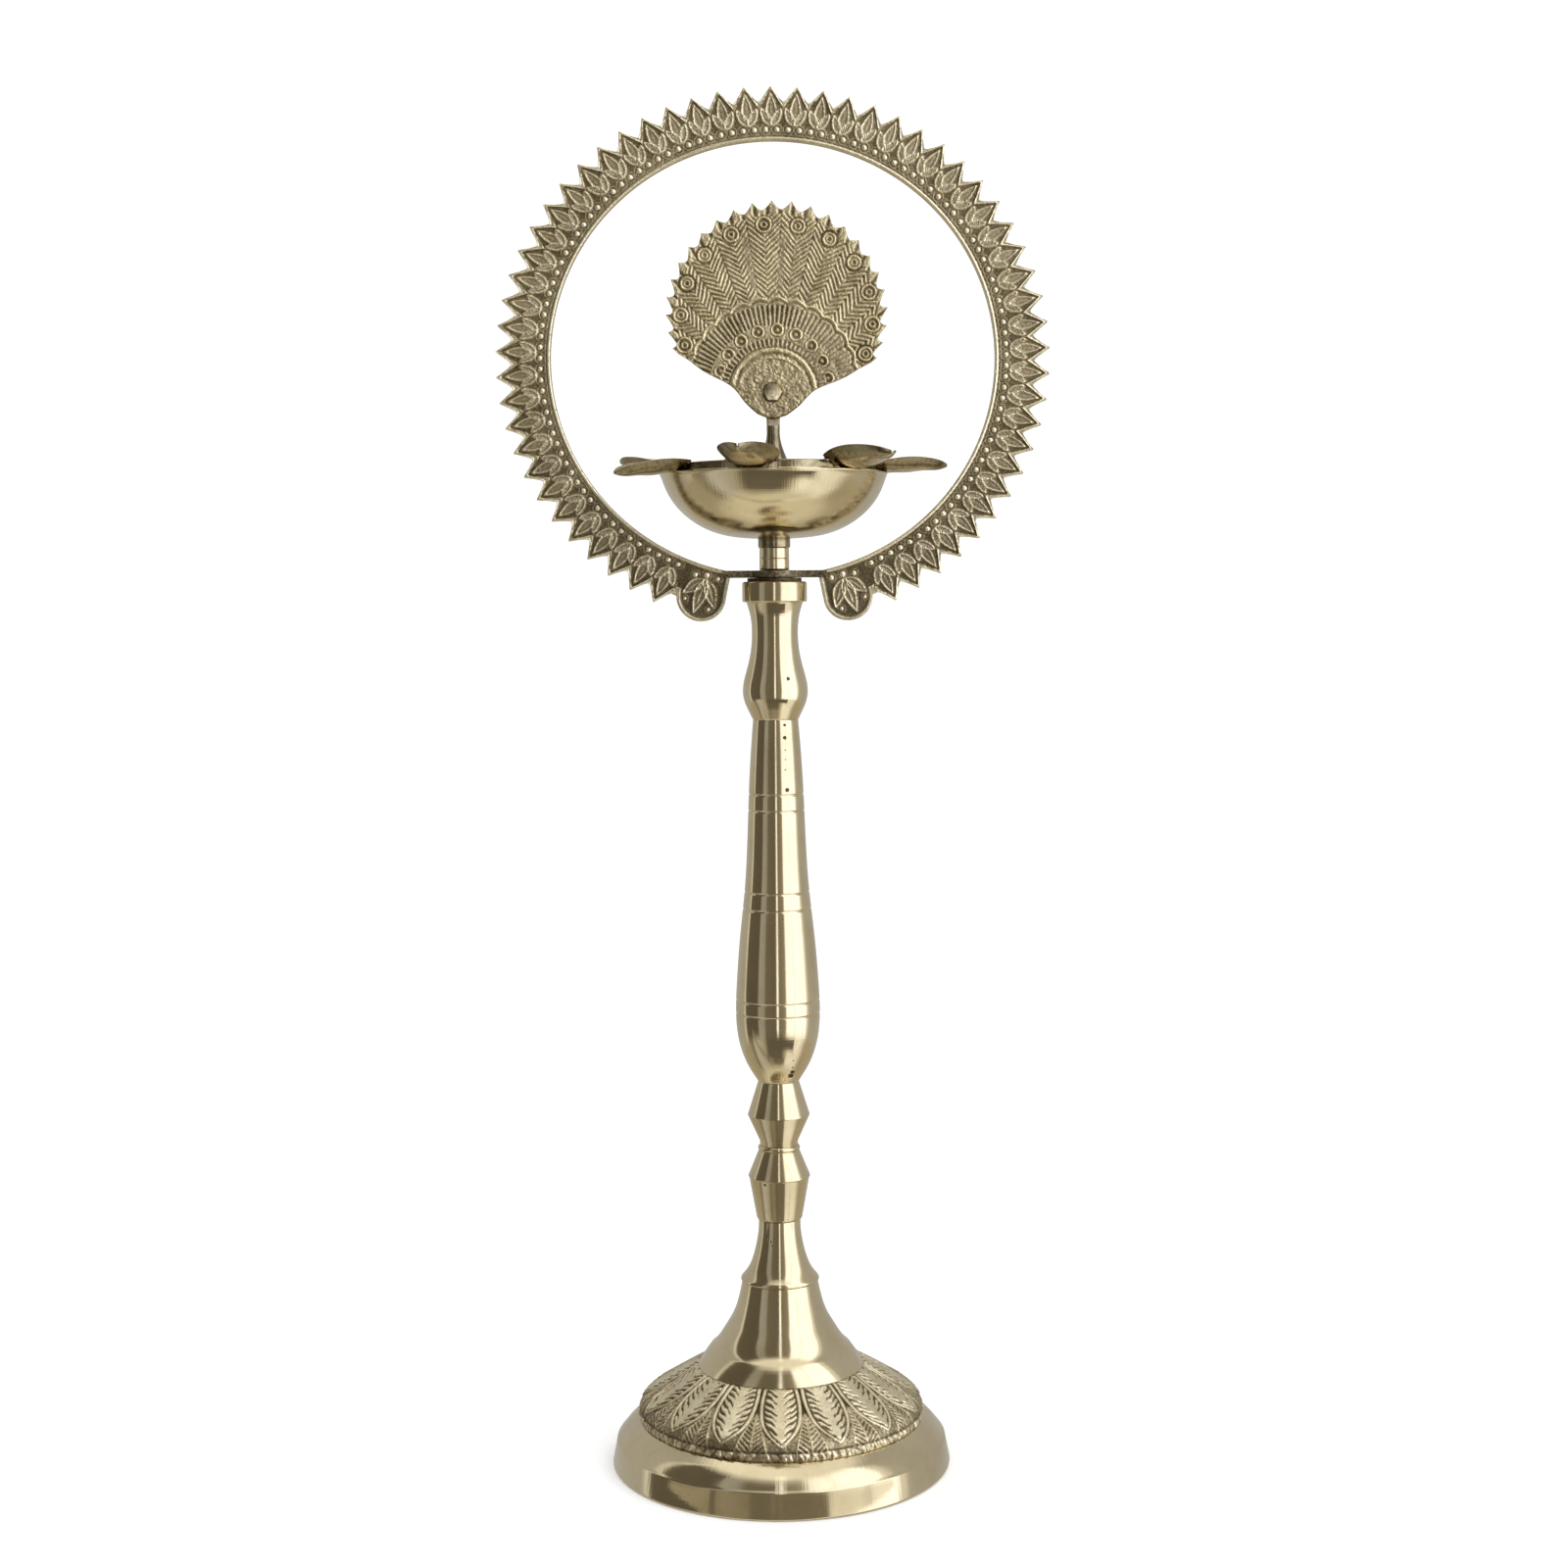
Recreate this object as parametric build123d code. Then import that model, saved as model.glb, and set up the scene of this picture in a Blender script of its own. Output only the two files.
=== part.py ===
from build123d import *
import math
import os

# Brass standing oil lamp: a spun and cast base, a turned column of screwed
# sections, a toothed leaf halo, a seven-spouted oil bowl and a peacock-tail
# finial on a clamp bolt.
#
# Millimetres, +Z up.  The origin is on the floor, on the lamp's axis.  The
# front, where the relief and the clamp nut are, faces -Y.

# ---- heights of the seams, from the floor up ----------------------------
FOOT_BAND_TOP = 11.2
DOME_BOTTOM = 20.8
DOME_TOP = 44.0
BELL_TOP = 82.0
NECK_CONE_TOP = 110.0
LOWER_KNOP_TOP = 143.8
UPPER_KNOP_TOP = 172.9
BALUSTER_TOP = 334.7
COLUMN_TOP = 395.4
STRAP_BOTTOM = 397.2
STRAP_TOP = 400.3
BOWL_NECK_BOTTOM = 400.5
BOWL_BOTTOM = 414.4
BOWL_LIP = 442.8
BOWL_RIM = 446.4
BOLT_HEIGHT = 477.8

# ---- base ----------------------------------------------------------------
FOOT_RADIUS = 76.0
FOOT_BAND_TOP_RADIUS = 74.0
DOME_RADIUS = 64.4
COLLAR_RADIUS = 37.4
COLLAR_TOP_RADIUS = 31.7
COLLAR_TOP = 52.0
BELL_TOP_RADIUS = 17.0

# ---- column ---------------------------------------------------------------
KNOP_RADIUS = 13.9
SEAM_RADIUS = 9.4
BALUSTER_RADIUS = 18.8
COLLAR_CAP_RADIUS = 14.3
# engraved lines of the long baluster: height and radius there
GROOVES = ((203.7, 18.8), (209.6, 18.8), (250.5, 15.3), (258.0, 14.5), (294.3, 12.6), (301.6, 12.2))
GROOVE_DEPTH = 0.35

# ---- hidden fasteners -------------------------------------------------------
ROD_RADIUS = 4.0                # M8 tie rod and M8 stud
ROD_BORE = 4.05
RUNNING_BORE = 4.06             # where a turning piece rides on the stud
ROD_BOTTOM = 27.0
ROD_TOP = 352.0
STUD_BOTTOM = 372.0
STUD_TOP = 431.0
M8_NUT_FLATS = 13.0
M8_NUT_HEIGHT = 6.5
CUP_WASHER_RADIUS = 15.0
CUP_WASHER_THICKNESS = 2.5

# ---- halo --------------------------------------------------------------------
HALO_CENTRE = 492.2
HALO_INNER_X = 97.2
HALO_INNER_Z = 94.1
HALO_THICKNESS = 3.0
TOOTH_COUNT = 57
FIRST_TOOTH_ANGLE = 26.2        # from straight down
TOOTH_TIP = 1.2517              # as a multiple of the inner ellipse
TOOTH_ROOT = 1.179
LOBE_ANGLE = 16.9
LOBE_CENTRE = 1.146
LOBE_RADIUS = 10.9
STRAP_DEPTH = 8.0
STRAP_EYE_RADIUS = 10.5
STRAP_HALF_LENGTH = 23.0
STRAP_WASHER_RADIUS = 12.0

# ---- bowl and spouts ----------------------------------------------------------
BOWL_RADIUS = 50.0
RIM_BAND_RADIUS = 46.1
RIM_BAND_WALL = 2.4
BOWL_NECK_TOP_RADIUS = 7.1
BOWL_NECK_FOOT_RADIUS = 6.6
SPOUT_COUNT = 7
FIRST_SPOUT_ANGLE = -101.0      # from +X, anticlockwise from above
SPOUT_WALL = 1.6
# how far out, half width, height of the upper edge, height of the underside
SPOUT_SECTIONS = (
    (45.0, 11.0, 446.8, 442.8),
    (52.0, 12.8, 448.2, 443.0),
    (60.0, 12.2, 449.0, 443.2),
    (67.0, 9.4, 448.9, 443.8),
    (73.0, 5.2, 448.1, 444.5),
    (76.4, 1.9, 447.3, 445.2),
)
SPOUT_NOTCH_START = 40.0        # the hollow also cuts through the rim band
SPOUT_PIVOT = (46.0, 444.5)
# each one is bent by hand: how far its tip is raised and how far it is rolled, degrees
SPOUT_BENDS = ((7.0, 0.0), (3.0, -8.0), (-0.5, 0.0), (2.0, 3.0), (-2.0, -3.0), (7.0, 0.0), (-9.0, 0.0))

# ---- finial ----------------------------------------------------------------------
STEM_RADIUS = 2.9
STEM_FOOT_RADIUS = 14.0
STEM_FOOT_BOTTOM = 417.5
TONGUE_RADIUS = 6.5
TONGUE_FRONT = 0.2
TONGUE_BACK = 3.2
FAN_FRONT = -3.0
FAN_BACK = -0.1
FAN_RADIUS = 48.1
FAN_CENTRE = 34.3               # above the bolt
FAN_LEAN = 3.1                  # the tail stands a little to the right
FAN_TIP_COUNT = 24
FAN_TIP_PITCH = 6.0             # as seen from the bolt
FAN_NOTCH_DEPTH = 3.4
BOLT_RADIUS = 2.0               # M4
FAN_BORE = 2.06
M4_NUT_FLATS = 7.0
M4_NUT_HEIGHT = 3.2
M4_HEAD_HEIGHT = 2.8
NUT_GAP = 0.15

UPRIGHT = (Align.CENTER, Align.CENTER, Align.MIN)


def line(*points):
    """Straight edges through (radius, height) points."""
    return Polyline(*[(r, 0, z) for r, z in points]).edges()


def curve(*points):
    """One smooth edge through (radius, height) points."""
    return Spline(*[(r, 0, z) for r, z in points]).edges()


def turned(*runs):
    """The solid of revolution of a closed half section."""
    edges = [edge for run in runs for edge in run]
    return revolve(make_face(edges), Axis.Z, 360)


def rod(radius, bottom, top):
    return Pos(0, 0, bottom) * Cylinder(radius, top - bottom, align=UPRIGHT)


def hexagon(flats, bottom, height):
    return Pos(0, 0, bottom) * extrude(RegularPolygon(flats / 2, 6, major_radius=False), height)


# ---- base -----------------------------------------------------------------------

def foot_flange():
    """Sloping band round the floor, and the flatter shoulder above it."""
    return turned(
        line((FOOT_RADIUS - 4.2, 0), (FOOT_RADIUS - 0.6, 0), (FOOT_RADIUS, 0.6),
             (FOOT_BAND_TOP_RADIUS, FOOT_BAND_TOP), (73.5, 11.7)),
        curve((73.5, 11.7), (71.6, 14.9), (68.2, 18.2), (DOME_RADIUS - 0.6, DOME_BOTTOM)),
        line((DOME_RADIUS - 0.6, DOME_BOTTOM), (58.0, DOME_BOTTOM), (58.0, 17.8), (62.6, 17.8)),
        curve((62.6, 17.8), (66.3, 15.6), (69.0, 12.8), (70.6, 9.6)),
        line((70.6, 9.6), (FOOT_RADIUS - 4.2, 0)),
    )


def leaf_dome():
    """Cast dome, closed on top by the seat of the column."""
    return turned(
        line((60.6, DOME_BOTTOM), (DOME_RADIUS, DOME_BOTTOM), (DOME_RADIUS, 23.2)),
        curve((DOME_RADIUS, 23.2), (62.7, 27.3), (58.3, 31.0), (50.1, 36.1), (43.8, 39.9),
              (37.0, DOME_TOP)),
        line((37.0, DOME_TOP), (ROD_BORE, DOME_TOP), (ROD_BORE, 40.0), (35.4, 40.0)),
        curve((35.4, 40.0), (42.1, 36.9), (48.4, 33.1), (56.2, 28.2), (59.8, 24.8), (60.6, DOME_BOTTOM)),
    )


def bell_cone():
    """Conical collar and hollow bell, turned in one piece."""
    return turned(
        line((33.6, DOME_TOP), (COLLAR_RADIUS, DOME_TOP), (COLLAR_TOP_RADIUS, COLLAR_TOP)),
        curve((COLLAR_TOP_RADIUS, COLLAR_TOP), (30.2, 53.3), (28.5, 55.2), (24.8, 60.8), (21.4, 66.6),
              (18.6, 74.6), (BELL_TOP_RADIUS, BELL_TOP)),
        line((BELL_TOP_RADIUS, BELL_TOP), (ROD_BORE, BELL_TOP), (ROD_BORE, 77.0), (14.6, 77.0)),
        curve((14.6, 77.0), (15.4, 73.6), (18.6, 65.2), (22.4, 58.8), (28.2, 51.0)),
        line((28.2, 51.0), (33.6, DOME_TOP)),
    )


def neck_cone():
    """Flared cone with a rolled lip where it sits on the bell."""
    return turned(
        line((ROD_BORE, BELL_TOP), (17.2, BELL_TOP)),
        curve((17.2, BELL_TOP), (17.6, 82.9), (17.2, 83.9)),
        curve((17.2, 83.9), (14.6, 87.2), (12.3, 92.2), (10.5, 99.0), (9.5, 106.0),
              (SEAM_RADIUS, NECK_CONE_TOP)),
        line((SEAM_RADIUS, NECK_CONE_TOP), (ROD_BORE, NECK_CONE_TOP), (ROD_BORE, BELL_TOP)),
    )


# ---- column -----------------------------------------------------------------------

def lower_knop():
    """Two cones base to base, the lower one long, with a bead on top."""
    return turned(
        line((ROD_BORE, NECK_CONE_TOP), (9.4, NECK_CONE_TOP)),
        curve((9.4, NECK_CONE_TOP), (10.0, 110.5), (10.4, 111.8)),
        line((10.4, 111.8), (KNOP_RADIUS - 0.4, 129.2), (KNOP_RADIUS, 129.7),
             (KNOP_RADIUS - 0.2, 130.4), (9.2, 141.4), (8.9, 141.6)),
        curve((8.9, 141.6), (9.5, 142.5), (8.8, LOWER_KNOP_TOP)),
        line((8.8, LOWER_KNOP_TOP), (ROD_BORE, LOWER_KNOP_TOP), (ROD_BORE, NECK_CONE_TOP)),
    )


def upper_knop():
    """Double cone, widest in the middle."""
    return turned(
        line((ROD_BORE, LOWER_KNOP_TOP), (8.5, LOWER_KNOP_TOP), (8.6, 145.8), (KNOP_RADIUS - 0.1, 157.3),
             (KNOP_RADIUS, 157.8), (KNOP_RADIUS - 0.3, 158.6), (9.3, 172.3), (9.1, UPPER_KNOP_TOP),
             (ROD_BORE, UPPER_KNOP_TOP), (ROD_BORE, LOWER_KNOP_TOP)),
    )


def long_baluster():
    """Tall pear shape with three pairs of engraved lines."""
    body = turned(
        line((ROD_BORE, UPPER_KNOP_TOP), (9.3, UPPER_KNOP_TOP), (9.9, 174.0)),
        curve((9.9, 174.0), (13.2, 179.3), (16.2, 186.2), (18.0, 193.6), (BALUSTER_RADIUS, 204.6),
              (18.2, 219.0), (16.5, 239.6), (14.5, 258.0), (13.1, 279.7), (12.1, 304.0), (11.1, 321.0),
              (10.0, BALUSTER_TOP)),
        line((10.0, BALUSTER_TOP), (ROD_BORE, BALUSTER_TOP), (ROD_BORE, UPPER_KNOP_TOP)),
    )
    for height, radius in GROOVES:
        vee = turned(line(
            (radius - GROOVE_DEPTH, height), (radius + 1, height - 1.2), (radius + 1, height + 1.2),
            (radius - GROOVE_DEPTH, height)))
        body -= vee
    return body


def top_baluster():
    """Small baluster with the cap that carries the halo."""
    body = turned(
        line((0, BALUSTER_TOP), (10.1, BALUSTER_TOP)),
        curve((10.1, BALUSTER_TOP), (11.9, 338.4), (14.0, 343.8), (14.3, 349.2), (12.6, 356.8),
              (10.8, 364.8), (10.2, 373.6), (10.9, 380.8), (12.5, 386.4)),
        line((12.5, 386.4), (13.9, 386.5), (COLLAR_CAP_RADIUS, 386.9), (COLLAR_CAP_RADIUS, 394.9),
             (COLLAR_CAP_RADIUS - 0.5, COLUMN_TOP), (0, COLUMN_TOP), (0, BALUSTER_TOP)),
    )
    body -= rod(ROD_BORE, BALUSTER_TOP, ROD_TOP)
    body -= rod(ROD_BORE, STUD_BOTTOM, COLUMN_TOP)
    return body


# ---- hidden fasteners ---------------------------------------------------------------

def column_tie_rod():
    return rod(ROD_RADIUS, ROD_BOTTOM, ROD_TOP)


def base_cup_washer():
    top = 40.0
    return rod(CUP_WASHER_RADIUS, top - CUP_WASHER_THICKNESS, top) - rod(ROD_BORE, 0, top)


def base_nut():
    bottom = 40.0 - CUP_WASHER_THICKNESS - M8_NUT_HEIGHT
    return hexagon(M8_NUT_FLATS, bottom, M8_NUT_HEIGHT) - rod(ROD_BORE, 0, BELL_TOP)


def top_stud():
    """Stud that the halo, the bowl and the finial are stacked on."""
    return rod(ROD_RADIUS, STUD_BOTTOM, STUD_TOP)


def strap_washer():
    top = STRAP_BOTTOM - 0.2
    return rod(STRAP_WASHER_RADIUS, COLUMN_TOP, top) - rod(ROD_BORE, COLUMN_TOP, top)


# ---- halo ----------------------------------------------------------------------------

def on_halo(scale, angle):
    """Point at a multiple of the inner ellipse, with the angle from straight down."""
    a = math.radians(angle)
    x = scale * HALO_INNER_X * math.sin(a)
    z = HALO_CENTRE - scale * HALO_INNER_Z * math.cos(a)
    return (x, 0, z)


def lobe_outline(side):
    """Rounded end of the band, from its inner corner out to the first tooth."""
    cx, _, cz = on_halo(LOBE_CENTRE, LOBE_ANGLE)
    points = [on_halo(0.9, 10.6), on_halo(1.10, 11.2)]
    for turn in range(-70, 61, 26):
        a = math.radians(LOBE_ANGLE + turn)
        points.append((cx + LOBE_RADIUS * math.sin(a), 0, cz - LOBE_RADIUS * math.cos(a)))
    points.append(on_halo(1.172, 23.2))
    return [(side * x, 0, z) for x, _, z in points]


def halo_ring():
    """Flat band with a pointed tooth per leaf and a rounded lobe at each end."""
    pitch = (360 - 2 * FIRST_TOOTH_ANGLE) / (TOOTH_COUNT - 1)
    points = lobe_outline(1)
    for i in range(TOOTH_COUNT):
        angle = FIRST_TOOTH_ANGLE + i * pitch
        points.append(on_halo(TOOTH_TIP, angle))
        if i < TOOTH_COUNT - 1:
            points.append(on_halo(TOOTH_ROOT, angle + pitch / 2))
    points += reversed(lobe_outline(-1))
    band = make_face(Polyline(*points, close=True).edges())
    plate = extrude(band, HALO_THICKNESS / 2, dir=(0, 1, 0), both=True)
    hole = Plane.XZ * Ellipse(HALO_INNER_X, HALO_INNER_Z)
    hole = extrude(Pos(0, 0, HALO_CENTRE) * hole, 10, dir=(0, 1, 0), both=True)
    return plate - hole


def halo_strap(ring):
    """Cross bar between the lobes, with a round eye for the stud."""
    height = STRAP_TOP - STRAP_BOTTOM
    bar = Pos(0, 0, STRAP_BOTTOM) * Box(2 * STRAP_HALF_LENGTH, STRAP_DEPTH, height, align=UPRIGHT)
    eye = rod(STRAP_EYE_RADIUS, STRAP_BOTTOM, STRAP_TOP)
    return bar + eye - rod(RUNNING_BORE, 0, BOWL_RIM) - ring


# ---- bowl and spouts -------------------------------------------------------------------

def bowl_neck():
    """Turned tube that lifts the bowl off the strap."""
    return turned(line(
        (RUNNING_BORE, BOWL_NECK_BOTTOM), (BOWL_NECK_FOOT_RADIUS - 0.3, BOWL_NECK_BOTTOM),
        (BOWL_NECK_FOOT_RADIUS, BOWL_NECK_BOTTOM + 0.4), (BOWL_NECK_TOP_RADIUS, BOWL_BOTTOM),
        (RUNNING_BORE, BOWL_BOTTOM), (RUNNING_BORE, BOWL_NECK_BOTTOM)))


def plain_bowl():
    """Round bowl with a rolled lip and a narrower band above it."""
    inner = RIM_BAND_RADIUS - RIM_BAND_WALL
    return turned(
        line((RUNNING_BORE, BOWL_BOTTOM), (9.0, BOWL_BOTTOM)),
        curve((9.0, BOWL_BOTTOM), (18.0, 415.2), (29.8, 418.6), (41.2, 426.6), (46.9, 434.6),
              (BOWL_RADIUS - 0.3, BOWL_LIP - 1.2)),
        line((BOWL_RADIUS - 0.3, BOWL_LIP - 1.2), (BOWL_RADIUS, BOWL_LIP - 0.8),
             (BOWL_RADIUS, BOWL_LIP - 0.3), (BOWL_RADIUS - 0.4, BOWL_LIP), (RIM_BAND_RADIUS, BOWL_LIP),
             (RIM_BAND_RADIUS, BOWL_RIM - 0.4), (RIM_BAND_RADIUS - 0.4, BOWL_RIM),
             (inner + 0.4, BOWL_RIM), (inner, BOWL_RIM - 0.4), (inner, 440.4)),
        curve((inner, 440.4), (42.7, 434.8), (38.9, 428.2), (28.9, 420.9), (17.6, 417.7), (9.0, 417.3)),
        line((9.0, 417.3), (RUNNING_BORE, 417.3), (RUNNING_BORE, BOWL_BOTTOM)),
    )


def boat(inset, lift, root):
    """Boat-shaped solid along +X from a root radius: the outside of a spout, or its hollow."""
    sections = []
    for i, (out, half_width, top, bottom) in enumerate(SPOUT_SECTIONS):
        out = root if i == 0 else out
        w = half_width - inset
        if w < 0.4:
            out -= inset
            w = 0.4
        low = bottom + inset
        high = top + lift
        keel = ThreePointArc((out, w, top), (out, 0, low), (out, -w, top))
        deck = Polyline((out, -w, top), (out, -w, high), (out, w, high), (out, w, top))
        sections.append(make_face(deck.edges() + keel.edges()))
    return loft(sections)


def spout_places():
    """Where each spout stands: bent at the rim, then turned to its own angle."""
    out, height = SPOUT_PIVOT
    places = []
    for i, (rise, roll) in enumerate(SPOUT_BENDS):
        bend = Pos(out, 0, height) * Rot(0, -rise, 0) * Rot(roll, 0, 0) * Pos(-out, 0, -height)
        places.append(Rot(0, 0, FIRST_SPOUT_ANGLE + i * 360 / SPOUT_COUNT) * bend)
    return places


def wick_spouts(bowl):
    """Scooped leaves brazed to the rim band, and the bowl notched where they open into it."""
    hollow = boat(SPOUT_WALL, 4, SPOUT_NOTCH_START)
    leaf = boat(0, 0.01, SPOUT_SECTIONS[0][0]) - hollow
    whole = plain_bowl()
    spouts = []
    for place in spout_places():
        bowl -= place * hollow
        spouts.append(place * leaf - whole)
    return bowl, spouts


# ---- finial --------------------------------------------------------------------------------

def across(radius, front, back):
    """Cylinder along Y at the height of the clamp bolt."""
    middle = (front + back) / 2
    return Pos(0, middle, BOLT_HEIGHT) * Rot(90, 0, 0) * Cylinder(radius, back - front)


def finial_stem():
    """Bell-footed stem, flattened at the top where the tail is clamped."""
    stem = turned(
        line((0, STEM_FOOT_BOTTOM), (STEM_FOOT_RADIUS, STEM_FOOT_BOTTOM), (STEM_FOOT_RADIUS, 419.5)),
        curve((STEM_FOOT_RADIUS, 419.5), (11.6, 430.0), (9.2, 440.6), (6.2, 448.6), (3.6, 455.6),
              (STEM_RADIUS, 462.0)),
        line((STEM_RADIUS, 462.0), (STEM_RADIUS, 468.0), (0, 468.0), (0, STEM_FOOT_BOTTOM)),
    )
    stem -= rod(RUNNING_BORE, STEM_FOOT_BOTTOM, STUD_TOP + 2)
    neck_depth = TONGUE_BACK - TONGUE_FRONT
    neck = Pos(0, (TONGUE_FRONT + TONGUE_BACK) / 2, 466.0) * Box(6.0, neck_depth, 8.0, align=UPRIGHT)
    stem += neck + across(TONGUE_RADIUS, TONGUE_FRONT, TONGUE_BACK)
    # the round stem is filed flat in front so that the tail can lie against it
    stem -= Pos(0, TONGUE_FRONT - 5, 463.5) * Box(20, 10, 30, align=UPRIGHT)
    return stem - across(BOLT_RADIUS, TONGUE_FRONT, TONGUE_BACK)


def fan_outline():
    """Tail outline about the bolt: notched round edge, concave lower sides."""
    side = [(0, -11.2), (6.4, -9.5), (12.2, -4.6), (17.4, 1.2), (24.9, 5.2), (31.4, 8.3), (37.2, 12.2)]
    points = side[:]
    half = FAN_TIP_COUNT // 2

    def on_edge(angle, depth):
        # distance from the bolt to a circle about the fan's own centre
        a = math.radians(angle)
        r = FAN_RADIUS - depth
        reach = FAN_CENTRE * math.cos(a) + math.sqrt(r * r - (FAN_CENTRE * math.sin(a)) ** 2)
        return (reach * math.sin(a), reach * math.cos(a))

    for i in reversed(range(half)):
        angle = (i + 0.5) * FAN_TIP_PITCH
        points.append(on_edge(angle, 0))
        points.append(on_edge(angle - FAN_TIP_PITCH / 2, FAN_NOTCH_DEPTH))
    left = [(-x, z) for x, z in points[1:-1]]
    return points + left[::-1]


def tail_fan():
    """Flat cast tail with a clearance hole for the clamp bolt."""
    outline = Polyline(*[(x, 0, z) for x, z in fan_outline()], close=True)
    plate = extrude(make_face(outline.edges()), FAN_BACK - FAN_FRONT, dir=(0, 1, 0))
    plate = Pos(0, FAN_FRONT, BOLT_HEIGHT) * Rot(0, FAN_LEAN, 0) * plate
    return plate - across(FAN_BORE, FAN_FRONT - 1, FAN_BACK + 1)


def sideways(prism):
    """Lay a part made along +Z down along -Y at the bolt."""
    return Pos(0, 0, BOLT_HEIGHT) * Rot(90, 0, 0) * prism


def fan_bolt():
    head = sideways(hexagon(M4_NUT_FLATS, -TONGUE_BACK - M4_HEAD_HEIGHT, M4_HEAD_HEIGHT))
    tip = FAN_FRONT - NUT_GAP - M4_NUT_HEIGHT - 1.4
    return head + across(BOLT_RADIUS, tip, TONGUE_BACK)


def fan_nut():
    nut = hexagon(M4_NUT_FLATS, -FAN_FRONT + NUT_GAP, M4_NUT_HEIGHT)
    nut &= Pos(0, 0, -FAN_FRONT + NUT_GAP) * Cone(5.4, 3.6, M4_NUT_HEIGHT + 1.0, align=UPRIGHT)
    return sideways(nut) - across(BOLT_RADIUS, FAN_FRONT - 6, FAN_FRONT)


def build():
    ring = halo_ring()
    bowl, spouts = wick_spouts(plain_bowl())
    parts = {
        "foot_flange": foot_flange(),
        "leaf_dome": leaf_dome(),
        "bell_cone": bell_cone(),
        "neck_cone": neck_cone(),
        "lower_knop": lower_knop(),
        "upper_knop": upper_knop(),
        "long_baluster": long_baluster(),
        "top_baluster": top_baluster(),
        "column_tie_rod": column_tie_rod(),
        "base_cup_washer": base_cup_washer(),
        "base_nut": base_nut(),
        "top_stud": top_stud(),
        "strap_washer": strap_washer(),
        "halo_ring": ring,
        "halo_strap": halo_strap(ring),
        "bowl_neck": bowl_neck(),
        "oil_bowl": bowl,
        "finial_stem": finial_stem(),
        "tail_fan": tail_fan(),
        "fan_bolt": fan_bolt(),
        "fan_nut": fan_nut(),
    }
    for i, spout in enumerate(spouts):
        parts[f"wick_spout_{i + 1}"] = spout
    return parts


os.makedirs("parts", exist_ok=True)
for name, shape in build().items():
    export_step(shape, f"parts/{name}.step")
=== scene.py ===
import math
from functools import reduce

import bpy
import numpy as np
from mathutils import Matrix, Vector
from mathutils.geometry import delaunay_2d_cdt


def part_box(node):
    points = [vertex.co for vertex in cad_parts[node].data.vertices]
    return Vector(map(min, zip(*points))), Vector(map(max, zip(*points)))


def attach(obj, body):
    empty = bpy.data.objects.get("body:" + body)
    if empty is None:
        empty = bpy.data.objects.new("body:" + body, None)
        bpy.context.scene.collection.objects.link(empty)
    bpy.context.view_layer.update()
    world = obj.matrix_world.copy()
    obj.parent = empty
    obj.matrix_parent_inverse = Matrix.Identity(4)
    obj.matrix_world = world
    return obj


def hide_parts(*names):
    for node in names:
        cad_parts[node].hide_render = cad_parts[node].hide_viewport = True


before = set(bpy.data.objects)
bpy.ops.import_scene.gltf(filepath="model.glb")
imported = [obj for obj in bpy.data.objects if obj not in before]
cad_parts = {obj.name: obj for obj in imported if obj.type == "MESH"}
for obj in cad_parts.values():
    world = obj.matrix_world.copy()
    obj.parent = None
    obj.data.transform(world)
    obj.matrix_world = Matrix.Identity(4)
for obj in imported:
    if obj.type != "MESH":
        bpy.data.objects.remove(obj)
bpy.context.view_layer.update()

# Brass standing oil lamp.  Shapes are worked out in millimetres, in the frame's
# own axes: +Z up, the relief and the clamp nut face -Y.  Turned parts are
# closed half sections spun about the axis; the halo, the dome and the tail are
# dense meshes whose relief is a height function.

MM = 0.001
rng = np.random.default_rng(24)


def low(node):
    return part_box(node)[0] / MM


def high(node):
    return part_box(node)[1] / MM


# ---- mesh helpers ----------------------------

def linked(name, data):
    """A new object in the scene."""
    thing = bpy.data.objects.new(name, data)
    bpy.context.scene.collection.objects.link(thing)
    return thing


def make_piece(node, points, faces, body, material, relief=None, sharp=32):
    """A mesh object from points in mm, riding on a body and standing for the CAD node of its name."""
    mesh = bpy.data.meshes.new("lamp_" + node)
    mesh.from_pydata((np.asarray(points) * MM).tolist(), [], faces)
    mesh.update()
    mesh.shade_smooth()
    mesh.set_sharp_from_angle(angle=math.radians(sharp))
    if relief is not None:
        mesh.attributes.new("relief", "FLOAT", "POINT").data.foreach_set("value", relief.astype(np.float32))
    mesh.materials.append(material)
    piece = linked("lamp_" + node, mesh)
    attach(piece, body)
    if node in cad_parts:
        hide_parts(node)
    return piece


def grid_faces(columns, rows, closed):
    """Quads of a grid whose rows wrap round, and whose columns do if closed; else it is capped."""
    c, r = np.meshgrid(np.arange(columns if closed else columns - 1), np.arange(rows), indexing="ij")
    c, r = c.ravel(), r.ravel()
    c2, r2 = (c + 1) % columns, (r + 1) % rows
    faces = np.stack([c * rows + r, c * rows + r2, c2 * rows + r2, c2 * rows + r], axis=1).tolist()
    if not closed:
        last = (columns - 1) * rows
        faces.append(list(range(rows))[::-1])
        faces.append(list(range(last, last + rows)))
    return faces


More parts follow.
